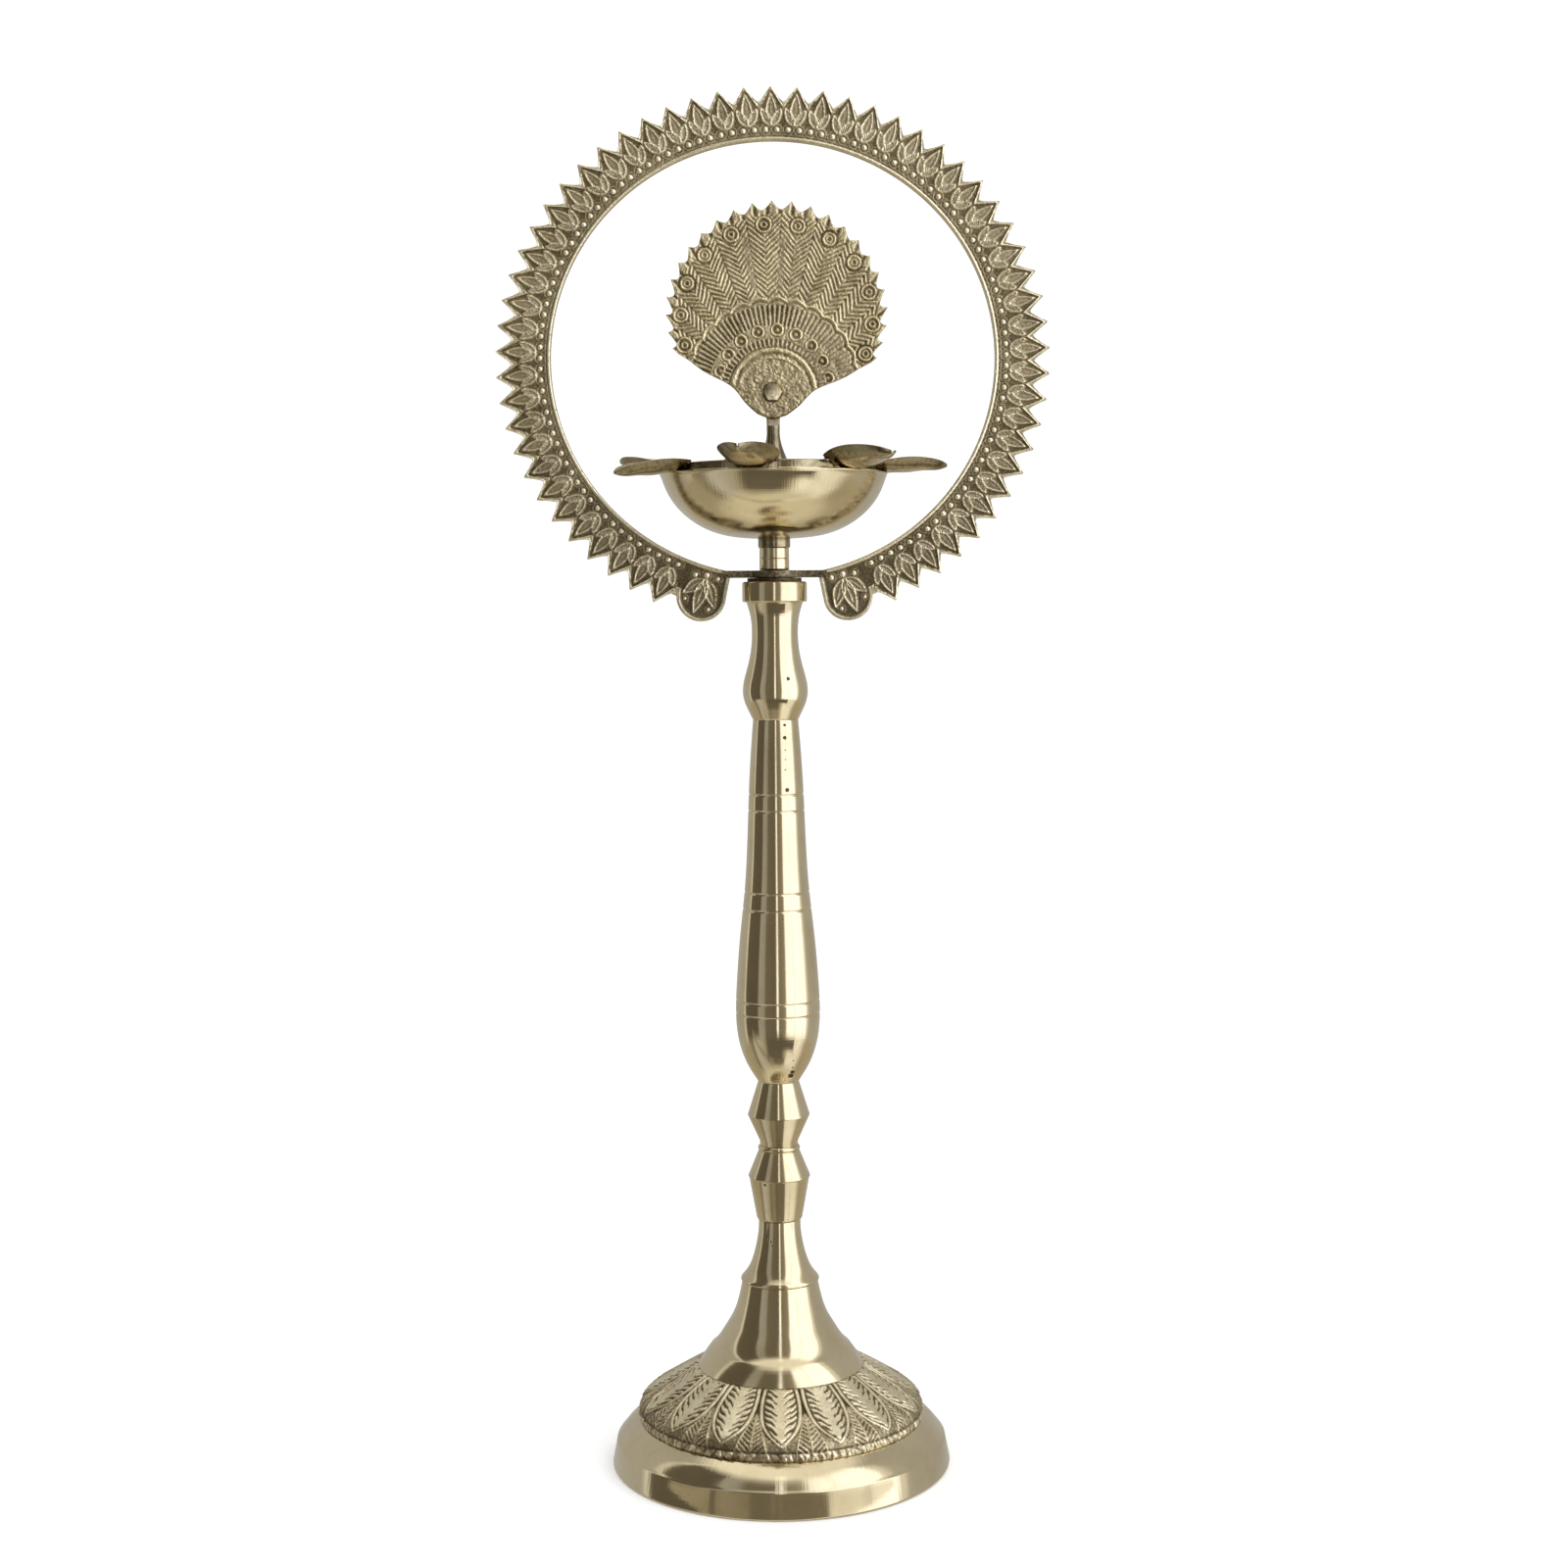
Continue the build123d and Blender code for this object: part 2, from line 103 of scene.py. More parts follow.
def spline(points, step):
    """A smooth curve through points, sampled about every step mm."""
    p = np.asarray(points, float)
    k = np.r_[0, np.cumsum(np.hypot(*np.diff(p, axis=0).T[:2]))]
    n = len(p)
    h = np.diff(k)
    a = np.eye(n)
    b = np.zeros((n, p.shape[1]))
    for i in range(1, n - 1):
        a[i, i - 1:i + 2] = h[i - 1], 2 * (h[i - 1] + h[i]), h[i]
        b[i] = 6 * ((p[i + 1] - p[i]) / h[i] - (p[i] - p[i - 1]) / h[i - 1])
    m = np.linalg.solve(a, b)
    t = np.linspace(0, k[-1], max(3, int(k[-1] / step) + 1))
    i = np.clip(np.searchsorted(k, t, "right") - 1, 0, n - 2)
    hi = h[i][:, None]
    u = (t - k[i])[:, None]
    v = hi - u
    return ((m[i] * v ** 3 + m[i + 1] * u ** 3) / (6 * hi)
            + (p[i] / hi - m[i] * hi / 6) * v + (p[i + 1] / hi - m[i + 1] * hi / 6) * u)


def section(*runs, edge=0.22, step=0.9):
    """Closed half section (radius, height): lists are straight, tuples are smooth; corners are eased."""
    loop = []
    for run in runs:
        points = spline(run, step) if isinstance(run, tuple) else np.asarray(run, float)
        loop += [p for p in points if not loop or np.hypot(*(p - loop[-1])) > 1e-4]
    if np.hypot(*(loop[0] - loop[-1])) < 1e-4:
        loop.pop()
    eased = []
    for i, p in enumerate(loop):
        before, after = loop[i - 1] - p, loop[(i + 1) % len(loop)] - p
        lb, la = np.hypot(*before), np.hypot(*after)
        turn = math.degrees(math.acos(np.clip(-before @ after / (lb * la), -1, 1)))
        if turn < 22:
            eased.append(p)
            continue
        cut = min(edge, 0.45 * lb, 0.45 * la)
        start, end = p + before / lb * cut, p + after / la * cut
        eased += [start, (start + 2 * p + end) / 4, end]
    return np.array(eased)


def spun(radii, heights, angles):
    """Points of a spun grid: one column per angle, one row per (radius, height)."""
    radii, heights = np.broadcast_arrays(radii, heights)
    if radii.ndim == 1:
        radii = np.tile(radii, (len(angles), 1))
        heights = np.tile(heights, (len(angles), 1))
    a = angles[:, None]
    return np.stack([radii * np.cos(a), radii * np.sin(a), heights], axis=2).reshape(-1, 3)


def full_turn(count):
    return np.linspace(0, 2 * math.pi, count, endpoint=False)


def turned_piece(node, profile, columns, body, material):
    """Spin a half section whose heights are above the CAD node's own bottom."""
    points = spun(profile[:, 0], profile[:, 1] + low(node).z, full_turn(columns))
    make_piece(node, points, grid_faces(columns, len(profile), True), body, material)


# ---- relief helpers --------------------------

def ridge(distance, width):
    return np.exp(-(distance / width) ** 2)


def dome(distance, radius):
    return np.sqrt(np.clip(1 - (distance / radius) ** 2, 0, 1))


def step_up(x, low_x, high_x):
    t = np.clip((x - low_x) / (high_x - low_x), 0, 1)
    return t * t * (3 - 2 * t)


def highest(*reliefs):
    return reduce(np.maximum, reliefs)


def leaf(x, y, base, tip, half, line=0.34):
    """A lens-shaped leaf: raised outline, midrib and a low blade."""
    ax, ay = tip[0] - base[0], tip[1] - base[1]
    length = np.hypot(ax, ay)
    s = ((x - base[0]) * ax + (y - base[1]) * ay) / length ** 2
    d = np.abs((x - base[0]) * ay - (y - base[1]) * ax) / length
    over = np.maximum(np.maximum(-s, s - 1), 0) * length
    width = half * np.sin(math.pi * np.clip(s, 0, 1) ** 0.8)
    outline = ridge(np.hypot(d - width, over), line)
    rib = ridge(d, 0.3) * step_up(s, 0.05, 0.2) * step_up(-s, -0.9, -0.7)
    blade = 0.3 * (d < width)
    return highest(outline, 0.75 * rib, blade)


def stipple(shape, amount):
    """Grains of the cast ground."""
    return amount * rng.normal(0, 1, shape).clip(-2, 2)


def patchy(x, y, size):
    """Smooth random field of about -1..1, with patches of a given size in mm."""
    table = rng.uniform(-1, 1, (256, 256))
    u, v = np.broadcast_arrays(x / size, y / size)
    i, j = np.floor(u).astype(int), np.floor(v).astype(int)
    fu, fv = u - i, v - j
    fu, fv = fu * fu * (3 - 2 * fu), fv * fv * (3 - 2 * fv)
    i, j = i % 255, j % 255
    near = table[i, j] * (1 - fu) + table[i + 1, j] * fu
    far = table[i, j + 1] * (1 - fu) + table[i + 1, j + 1] * fu
    return near * (1 - fv) + far * fv


# ---- material helpers ------------------------

def put(tree, kind, values=None, **settings):
    """Add a node; values are constants or sockets for its inputs."""
    node = tree.nodes.new(kind)
    for key, value in settings.items():
        setattr(node, key, value)
    for key, value in (values or {}).items():
        if isinstance(value, bpy.types.NodeSocket):
            tree.links.new(value, node.inputs[key])
        else:
            node.inputs[key].default_value = value
    return node


def math_node(operation, *values):
    """A maths node, in the tree of the first value that is a socket."""
    tree = next(value.id_data for value in values if isinstance(value, bpy.types.NodeSocket))
    return put(tree, "ShaderNodeMath", dict(enumerate(values)), operation=operation).outputs[0]


def times(a, b):
    return math_node("MULTIPLY", a, b)


def plus(a, b):
    return math_node("ADD", a, b)


def vector_node(operation, a, b):
    return put(a.id_data, "ShaderNodeVectorMath", {0: a, 1: b}, operation=operation).outputs


def split(vector):
    return put(vector.id_data, "ShaderNodeSeparateXYZ", {0: vector}).outputs


def noise(vector, scale, detail=3.0, roughness=0.55):
    values = {"Vector": vector, "Scale": scale, "Detail": detail, "Roughness": roughness}
    return put(vector.id_data, "ShaderNodeTexNoise", values).outputs[0]


def noise_along(distance, scale, detail):
    """Noise that changes with one coordinate only."""
    values = {"W": distance, "Scale": scale, "Detail": detail}
    return put(distance.id_data, "ShaderNodeTexNoise", values, noise_dimensions="1D").outputs[0]


def between(value, low_in, high_in, low_out=0.0, high_out=1.0):
    values = {"Value": value, "From Min": low_in, "From Max": high_in, "To Min": low_out, "To Max": high_out}
    return put(value.id_data, "ShaderNodeMapRange", values).outputs[0]


def mix_colour(factor, a, b):
    tree = factor.id_data
    node = put(tree, "ShaderNodeMix", data_type="RGBA")
    tree.links.new(factor, node.inputs[0])
    for socket, value in ((node.inputs[6], a), (node.inputs[7], b)):
        if isinstance(value, bpy.types.NodeSocket):
            tree.links.new(value, socket)
        else:
            socket.default_value = (*value, 1)
    return node.outputs[2]


def bump(height, distance, strength=1.0, normal=None):
    values = {"Height": height, "Distance": distance, "Strength": strength}
    if normal is not None:
        values["Normal"] = normal
    return put(height.id_data, "ShaderNodeBump", values).outputs[0]


def coordinates(tree):
    """Object coordinates, whole and split."""
    place = put(tree, "ShaderNodeTexCoord").outputs["Object"]
    return place, split(place)


def from_axis(xyz):
    return math_node("SQRT", plus(times(xyz[0], xyz[0]), times(xyz[1], xyz[1])))


def relief_of(tree):
    return put(tree, "ShaderNodeAttribute", attribute_name="relief").outputs["Fac"]


def emptied(owner):
    """The owner's node tree, with nothing in it."""
    owner.use_nodes = True
    owner.node_tree.nodes.clear()
    return owner.node_tree


def new_material(name):
    material = bpy.data.materials.new(name)
    return material, emptied(material)


def output(shader, kind="Material"):
    put(shader.id_data, "ShaderNodeOutput" + kind, {"Surface": shader.outputs[0]})


def finish_metal(tree, colour, roughness, normal):
    output(put(tree, "ShaderNodeBsdfPrincipled",
               {"Base Color": colour, "Metallic": 1.0, "Roughness": roughness, "Normal": normal}))


BRASS = (0.72, 0.618, 0.415)
BRASS_DULL = (0.58, 0.485, 0.305)
BRASS_PITTED = (0.10, 0.075, 0.04)
# colour of the painted shade at the top of the neck and on the bowl's rim band
BRASS_PAINTED_SHADE = (0.25, 0.205, 0.12)
PIT_WOBBLE = 0.0007

# casting pits of the column's front: x, height above the floor, radius, in mm
PITS = ((5.7, 353.0, 0.7), (4.0, 332.6, 0.55), (4.0, 327.0, 0.75), (4.2, 321.5, 0.3), (4.2, 317.5, 0.25),
        (4.1, 313.0, 0.3), (4.9, 304.0, 0.8), (5.6, 176.8, 1.25), (6.3, 178.6, 0.9), (6.6, 184.3, 0.3),
        (6.4, 181.0, 0.35), (-5.0, 102.5, 0.42), (-4.0, 101.7, 0.42), (-3.5, 100.0, 0.4),
        (2.0, 252.0, 0.25), (2.2, 247.5, 0.35), (2.1, 243.5, 0.25), (1.9, 239.0, 0.3), (-6.5, 128.0, 0.5))


def casting_pits(place, xyz):
    """1 in the pits of the column's front, with ragged edges, and 0 elsewhere."""
    tree = place.id_data
    wobble = put(tree, "ShaderNodeTexNoise", {"Vector": place, "Scale": 900.0}).outputs[1]
    wobble = split(vector_node("MULTIPLY", wobble, (PIT_WOBBLE, 0.0, PIT_WOBBLE))[0])
    across, up = plus(xyz[0], wobble[0]), plus(xyz[2], wobble[2])
    front_view = put(tree, "ShaderNodeCombineXYZ", {0: across, 2: up}).outputs[0]
    pits = 0.0
    for x, z, radius in PITS:
        # the wobble is half its strength on average
        centre = (x * MM + PIT_WOBBLE / 2, 0.0, z * MM + PIT_WOBBLE / 2)
        away = vector_node("DISTANCE", front_view, centre)["Value"]
        pits = math_node("MAXIMUM", pits, between(away, radius * MM * 1.15, radius * MM * 0.7))
    return times(pits, math_node("LESS_THAN", xyz[1], 0.0))


def polished_brass(name, streaks=0.0, top_shade=None):
    """Turned and buffed brass: fine tool lines, smudges, pits, streaks round the axis, and painted shade that
    darkens it above a height, from z to z.
    """
    material, tree = new_material(name)
    place, xyz = coordinates(tree)
    along = plus(xyz[2], times(from_axis(xyz), 0.8))
    lines = noise_along(along, 1900.0, 2.0)
    bands = noise_along(along, 160.0, 3.0)
    smudge = noise(place, 38.0, 5.0, 0.62)
    grime = noise(place, 210.0, 4.0, 0.6)
    pits = casting_pits(place, xyz)
    colour = mix_colour(between(smudge, 0.42, 0.72, 0.0, 0.75), BRASS, BRASS_DULL)
    colour = mix_colour(between(grime, 0.60, 0.78, 0.0, 0.55), colour, BRASS_DULL)
    colour = mix_colour(pits, colour, BRASS_PITTED)
    # painted shade: darker above the given heights
    if top_shade:
        painted_shade = times(between(xyz[2], *top_shade), between(grime, 0.3, 0.6, 0.6, 1.0))
        colour = mix_colour(painted_shade, colour, BRASS_PAINTED_SHADE)
    roughness = plus(between(smudge, 0.3, 0.75, 0.06, 0.16), times(pits, 0.4))
    height = plus(plus(times(lines, 0.3), bands), times(grime, 0.35))
    if streaks:
        streak = noise_along(math_node("ARCTAN2", xyz[1], xyz[0]), 55.0, 4.0)
        height = plus(height, times(streak, streaks))
    normal = bump(times(pits, -1.0), 0.0005, 0.8, bump(height, 0.000035))
    finish_metal(tree, colour, roughness, normal)
    return material


def cast_brass(name, dark, bright, grain, low_shade=None):
    """Sand-cast brass: worn bright on the high relief, brown patina in the hollows, painted shade low down.
    """
    material, tree = new_material(name)
    place, xyz = coordinates(tree)
    relief = relief_of(tree)
    blotch = noise(place, 60.0, 4.0, 0.6)
    sand = noise(place, grain, 3.0, 0.65)
    worn = plus(relief, between(blotch, 0.3, 0.7, -0.10, 0.10))
    worn = plus(worn, between(sand, 0.3, 0.7, -0.14, 0.14))
    colour = mix_colour(between(worn, 0.0, 0.45), dark, BRASS_DULL)
    colour = mix_colour(between(worn, 0.45, 0.9), colour, bright)
    # painted shade: darker low down, most in the low relief
    if low_shade:
        low_z, high_z = low_shade
        painted_shade = times(between(xyz[2], high_z, low_z), between(worn, 0.85, 0.35))
        colour = mix_colour(times(painted_shade, 0.38), colour, tuple(0.45 * c for c in dark))
    roughness = between(worn, 0.05, 0.95, 0.52, 0.27)
    finish_metal(tree, colour, roughness, bump(sand, 0.00016, 0.9))
    return material


def worked_brass(name, shade, smooth, rough, top_shade=False):
    """Hand-worked brass, brushed across, with painted shade in patches near its joint with the bowl."""
    material, tree = new_material(name)
    place, xyz = coordinates(tree)
    squeezed = vector_node("MULTIPLY", place, (1.0, 1.0, 0.10))[0]
    brush = noise(squeezed, 700.0, 3.0, 0.6)
    smudge = noise(place, 90.0, 4.0, 0.6)
    # painted shade: darker patches near the joint with the bowl, at the spouts' roots; the nut and stem,
    # close to the axis, take these patches all over as random tone
    joint_shade_and_patches = times(between(from_axis(xyz), 0.058, 0.046), between(smudge, 0.35, 0.65))
    # shade scales the brass's colour; for the nut and bolt it is a painted highlight, for the stem painted
    # shade
    light = tuple(shade * c for c in BRASS)
    dark = tuple(shade * 0.62 * c for c in BRASS_DULL)
    streak = plus(times(brush, 0.6), times(smudge, 0.4))
    colour = mix_colour(between(streak, 0.40, 0.60), light, dark)
    colour = mix_colour(joint_shade_and_patches, colour, (0.20, 0.155, 0.09))
    # painted shade on the upper outer walls of the spouts and towards their tips
    if top_shade:
        painted_shade = times(between(relief_of(tree), 0.50, 0.60), between(brush, 0.62, 0.38, 0.45, 1.0))
        colour = mix_colour(painted_shade, colour, (0.20, 0.165, 0.095))
    roughness = between(smudge, 0.3, 0.7, smooth, rough)
    finish_metal(tree, colour, roughness, bump(brush, 0.00005))
    return material


def plated_steel():
    """Zinc-plated rod and nuts, with rolled threads along the rod."""
    material, tree = new_material("lamp_zinc_steel")
    place, xyz = coordinates(tree)
    spangle = noise(place, 300.0, 3.0, 0.6)
    turn = times(math_node("ARCTAN2", xyz[1], xyz[0]), 1 / (2 * math.pi))
    thread = math_node("PINGPONG", plus(times(xyz[2], THREADS_PER_METRE), turn), 0.5)
    colour = mix_colour(between(spangle, 0.35, 0.65), (0.50, 0.50, 0.51), (0.62, 0.62, 0.60))
    finish_metal(tree, colour, between(spangle, 0.3, 0.7, 0.25, 0.42), bump(thread, 0.0008))
    return material


THREADS_PER_METRE = 800.0
polished = polished_brass("lamp_polished_brass")
foot_brass = polished_brass("lamp_foot_brass", 0.6)
# the pair of heights, in metres, is where painted shade darkens the top of the neck, under the bowl, and the
# bowl's rim band
neck_brass = polished_brass("lamp_neck_brass", 0.3, (0.4098, 0.4106))
bowl_brass = polished_brass("lamp_bowl_brass", 1.1, (0.4428, 0.4434))
# the last pair of heights, in metres, spans the painted shade over the halo's lower half
halo_cast = cast_brass("lamp_halo_cast", (0.15, 0.117, 0.06), (1.0, 0.91, 0.66), 1500.0, (0.405, 0.52))
dome_cast = cast_brass("lamp_dome_cast", (0.15, 0.122, 0.072), (0.92, 0.83, 0.60), 1300.0)
fan_cast = cast_brass("lamp_fan_cast", (0.12, 0.092, 0.04), (0.86, 0.75, 0.46), 1700.0)
# painted shade: near-black brass for the strap and the washer under it, standing for the shadow round the
# strap
strap_painted_shade = cast_brass("lamp_strap_cast", (0.07, 0.055, 0.032), (0.24, 0.20, 0.125), 700.0)
# the spouts take painted shade near the bowl and on their upper walls
spout_brass = worked_brass("lamp_spout_brass", 1.05, 0.18, 0.30, True)
# painted highlight: a lighter copy of the worked brass for the nut and bolt
nut_brass_painted_bright = worked_brass("lamp_nut_brass", 1.25, 0.16, 0.30)
# painted shade: a darker copy of the worked brass, so the stem's filed flat doesn't shine
stem_brass_painted_dark = worked_brass("lamp_stem_brass", 0.48, 0.10, 0.20)
steel = plated_steel()


# ---- turned parts: half sections as (radius, height above the part's own bottom) ----

BORE = 4.05
STUD_BORE = 4.06                # strap, bowl and neck, which turn on the stud
LATHE_COLUMNS = 224
BOWL_COLUMNS = 420
NECK_COLUMNS = 128

TURNED = {
    "foot_flange": section(
        [(71.8, 0), (75.4, 0), (76, 0.6), (74, 11.2), (73.5, 11.7)],
        ((73.5, 11.7), (71.2, 14.6), (67.9, 18.0), (63.8, 20.8)),
        [(63.8, 20.8), (58, 20.8), (58, 17.8), (62.6, 17.8)],
        ((62.6, 17.8), (66.3, 15.6), (69, 12.8), (70.6, 9.6)),
        [(70.6, 9.6), (71.8, 0)]),
    "bell_cone": section(
        [(33.6, 0), (37.4, 0), (31.7, 8)],
        ((31.7, 8), (30.2, 9.3), (28.5, 11.2), (24.8, 16.8), (21.4, 22.6), (18.6, 30.6), (17, 38)),
        [(17, 38), (BORE, 38), (BORE, 33), (14.6, 33)],
        ((14.6, 33), (15.4, 29.6), (18.6, 21.2), (22.4, 14.8), (28.2, 7)),
        [(28.2, 7), (33.6, 0)]),
    "neck_cone": section(
        [(BORE, 0), (17.2, 0)],
        ((17.2, 0), (17.6, 0.9), (17.2, 1.9)),
        ((17.2, 1.9), (14.6, 5.2), (12.3, 10.2), (10.5, 17), (9.5, 24), (9.4, 28)),
        [(9.4, 28), (BORE, 28), (BORE, 0)], step=0.5),
    "lower_knop": section(
        [(BORE, 0), (9.4, 0)],
        ((9.4, 0), (10, 0.5), (10.4, 1.8)),
        [(10.4, 1.8), (13.5, 19.2), (13.9, 19.7), (13.7, 20.4), (9.2, 31.4), (8.9, 31.6)],
        ((8.9, 31.6), (9.5, 32.5), (8.8, 33.8)),
        [(8.8, 33.8), (BORE, 33.8), (BORE, 0)], step=0.5),
    "upper_knop": section(
        [(BORE, 0), (8.5, 0), (8.6, 2), (13.8, 13.5), (13.9, 14), (13.6, 14.8), (9.3, 28.5), (9.1, 29.1),
         (BORE, 29.1), (BORE, 0)]),
    "top_baluster": section(
        [(BORE, 0), (10.1, 0)],
        ((10.1, 0), (11.9, 3.7), (14, 9.1), (14.3, 14.5), (12.6, 22.1), (10.8, 30.1), (10.2, 38.9),
         (10.9, 46.1), (12.5, 51.7)),
        [(12.5, 51.7), (13.9, 51.8), (14.3, 52.2), (14.3, 60.2), (13.8, 60.7), (BORE, 60.7), (BORE, 0)]),
    # drawn near-black in the strap's material: painted shade between the strap and the collar
    "strap_washer": section([(BORE, 0), (12, 0), (12, 1.6), (BORE, 1.6)]),
}
BALUSTER_SIDE = ((9.9, 1.1), (13.2, 6.4), (16.2, 13.3), (18, 20.7), (18.8, 31.7), (18.2, 46.1), (16.5, 66.7),
                 (14.5, 85.1), (13.1, 106.8), (12.1, 131.1), (11.1, 148.1), (10, 161.8))
BALUSTER_GROOVES = (30.8, 36.7, 77.6, 85.1, 121.4, 128.7)
GROOVE_HALF_WIDTH = 0.62
GROOVE_DEPTH = 0.34


def grooved_baluster():
    """The long baluster's section, with its engraved lines cut as rounded vees."""
    side = spline(BALUSTER_SIDE, 0.9)
    extra = [g + d for g in BALUSTER_GROOVES for d in np.linspace(-1.5, 1.5, 9) * GROOVE_HALF_WIDTH]
    heights = np.unique(np.r_[side[:, 1], extra])
    radii = np.interp(heights, side[:, 1], side[:, 0])
    for groove in BALUSTER_GROOVES:
        radii -= GROOVE_DEPTH * np.clip(1 - np.abs(heights - groove) / GROOVE_HALF_WIDTH, 0, 1)
    outside = [tuple(p) for p in np.c_[radii, heights]]
    return section([(BORE, 0), (9.3, 0)] + outside + [(BORE, outside[-1][1]), (BORE, 0)], edge=0.12)


def turned_parts():
    TURNED["long_baluster"] = grooved_baluster()
    special = {"strap_washer": strap_painted_shade, "foot_flange": foot_brass}
    for node, profile in TURNED.items():
        turned_piece(node, profile, LATHE_COLUMNS, "stand", special.get(node, polished))


# ---- dome with its leaves --------------------

DOME_LEAVES = 15
DOME_COLUMNS = 1024
DOME_ROWS = 82
LEAF_LENGTH = 31.4
LEAF_HALF_WIDTH = 9.3
LEAF_TOP_HALF_WIDTH = 7.3
LEAF_SHOULDER = 0.45            # where along it a leaf is widest
LEAF_BORDER = 1.75
VEIN_PITCH = 3.3
ROPE_WIDTH = 3.6
ROPE_BEADS = 108


def leaf_half_width(s):
    """Half width of a dome leaf, s mm down from the collar."""
    x = np.clip(s / LEAF_LENGTH, 0, 1)
    swell = np.sin(np.clip(x / LEAF_SHOULDER, 0, 1) * math.pi / 2)
    upper = LEAF_TOP_HALF_WIDTH + (LEAF_HALF_WIDTH - LEAF_TOP_HALF_WIDTH) * swell
    past = np.clip((x - LEAF_SHOULDER) / (1 - LEAF_SHOULDER), 0, 1)
    return np.where(x < LEAF_SHOULDER, upper, LEAF_HALF_WIDTH * (1 - past ** 2.4) ** 0.85)


def dome_relief(angle, s, radius, length):
    """Height of the leaves in mm and how worn each point is."""
    cell = 2 * math.pi / DOME_LEAVES
    nearest = np.round((angle + math.pi / 2) / cell)
    off = (angle + math.pi / 2 - nearest * cell) * radius
    to_gap = cell / 2 * radius - np.abs(off)
    width = leaf_half_width(s)
    u = np.abs(off)
    on_leaf = step_up(width - u, -0.15, 0.2) * step_up(-s, -LEAF_LENGTH - 0.3, -LEAF_LENGTH)
    inner = width - LEAF_BORDER
    border = on_leaf * step_up(u - inner, -0.1, 0.2)
    # fir-tree blade: a smooth middle, slanted cuts that widen towards the border
    share = np.clip(u / np.maximum(inner, 0.5), 0, 1)
    lean = 0.45 * np.sin(2.1 * nearest + 0.4 * s) + 0.3 * np.sin(1.7 * off + nearest)
    feather = (s + 0.8 * u + lean) / VEIN_PITCH
    tooth = np.abs((feather % 1) - 0.5) * 2
    reach = 0.62 * np.clip(share - 0.22 - 0.12 * np.sin(1.3 * s + 2 * nearest), 0, None) ** 0.7
    cut = step_up(tooth - 1 + reach, -0.10, 0.10) * step_up(u, 0.9, 1.7)
    cut = np.maximum(cut, ridge(u - inner + 0.25, 0.34))
    blade = on_leaf * (1 - border)
    h = 0.80 * border + blade * (0.80 - 0.85 * cut)
    h -= 0.45 * ridge(u - width - 0.1, 0.32) * step_up(-s, -LEAF_LENGTH, -28)
    h += 0.16 * border * np.sin(5.3 * s + 3.0 * nearest) * ridge(u - width + 0.8, 0.5)
    # a smaller leaf shows faintly in each triangle between two large ones
    small = (1 - on_leaf) * step_up(s, 13, 16)
    small_half = 0.34 * np.clip(s - 13, 0, None)
    within = step_up(small_half - to_gap, 0, 0.6)
    small_cut = np.abs((((s + 0.9 * to_gap) / 2.4) % 1) - 0.5) * 2
    small_cut = step_up(small_cut, 0.4, 0.75) * step_up(to_gap, 0.3, 0.8)
    h += small * (0.26 + within * (0.28 - 0.48 * small_cut))
    h += small * 0.45 * ridge(to_gap - small_half, 0.36)
    # rope of uneven blocks along the lower edge
    down = length - s
    on_rope = step_up(-down, -ROPE_WIDTH - 0.2, -ROPE_WIDTH + 0.2)
    phase = angle * ROPE_BEADS / (2 * math.pi) + 0.04 * down
    phase = phase + 0.30 * np.sin(5 * angle) + 0.25 * np.sin(11 * angle + 1)
    phase = phase + 0.5 * patchy(radius * angle, down, 3.0)
    number = np.floor(phase).astype(int) % ROPE_BEADS
    size = rng.uniform(0.25, 1.0, ROPE_BEADS)[number]
    bead = 1 - np.abs(2 * (phase % 1) - 1) ** (2.2 + 2 * size)
    across = 1 - np.abs(2 * down / ROPE_WIDTH - 1).clip(0, 1) ** 3
    h = h * (1 - on_rope) - 0.5 * ridge(down - ROPE_WIDTH - 0.3, 0.3)
    x, y = radius * np.cos(angle), radius * np.sin(angle)
    rough = patchy(x, y + 0.6 * down, 0.9)
    h += on_rope * ((1.0 + 0.7 * rough) * bead * across * size - 0.05)
    dull = rng.uniform(0, 0.1, DOME_LEAVES)[nearest.astype(int) % DOME_LEAVES]
    worn = h + on_rope * (0.22 + 0.18 * rough) + 0.10 * patchy(x, y, 2.2) + stipple(h.shape, 0.05) - dull
    ground = 1 - np.maximum(on_leaf, on_rope)
    worn = worn + ground * stipple(h.shape, 0.12)
    h = h + ground * stipple(h.shape, 0.08) + stipple(h.shape, 0.02)
    fade = step_up(s, 0.0, 1.6) * step_up(down, 0.1, 0.7)
    return h * fade * 0.85, worn


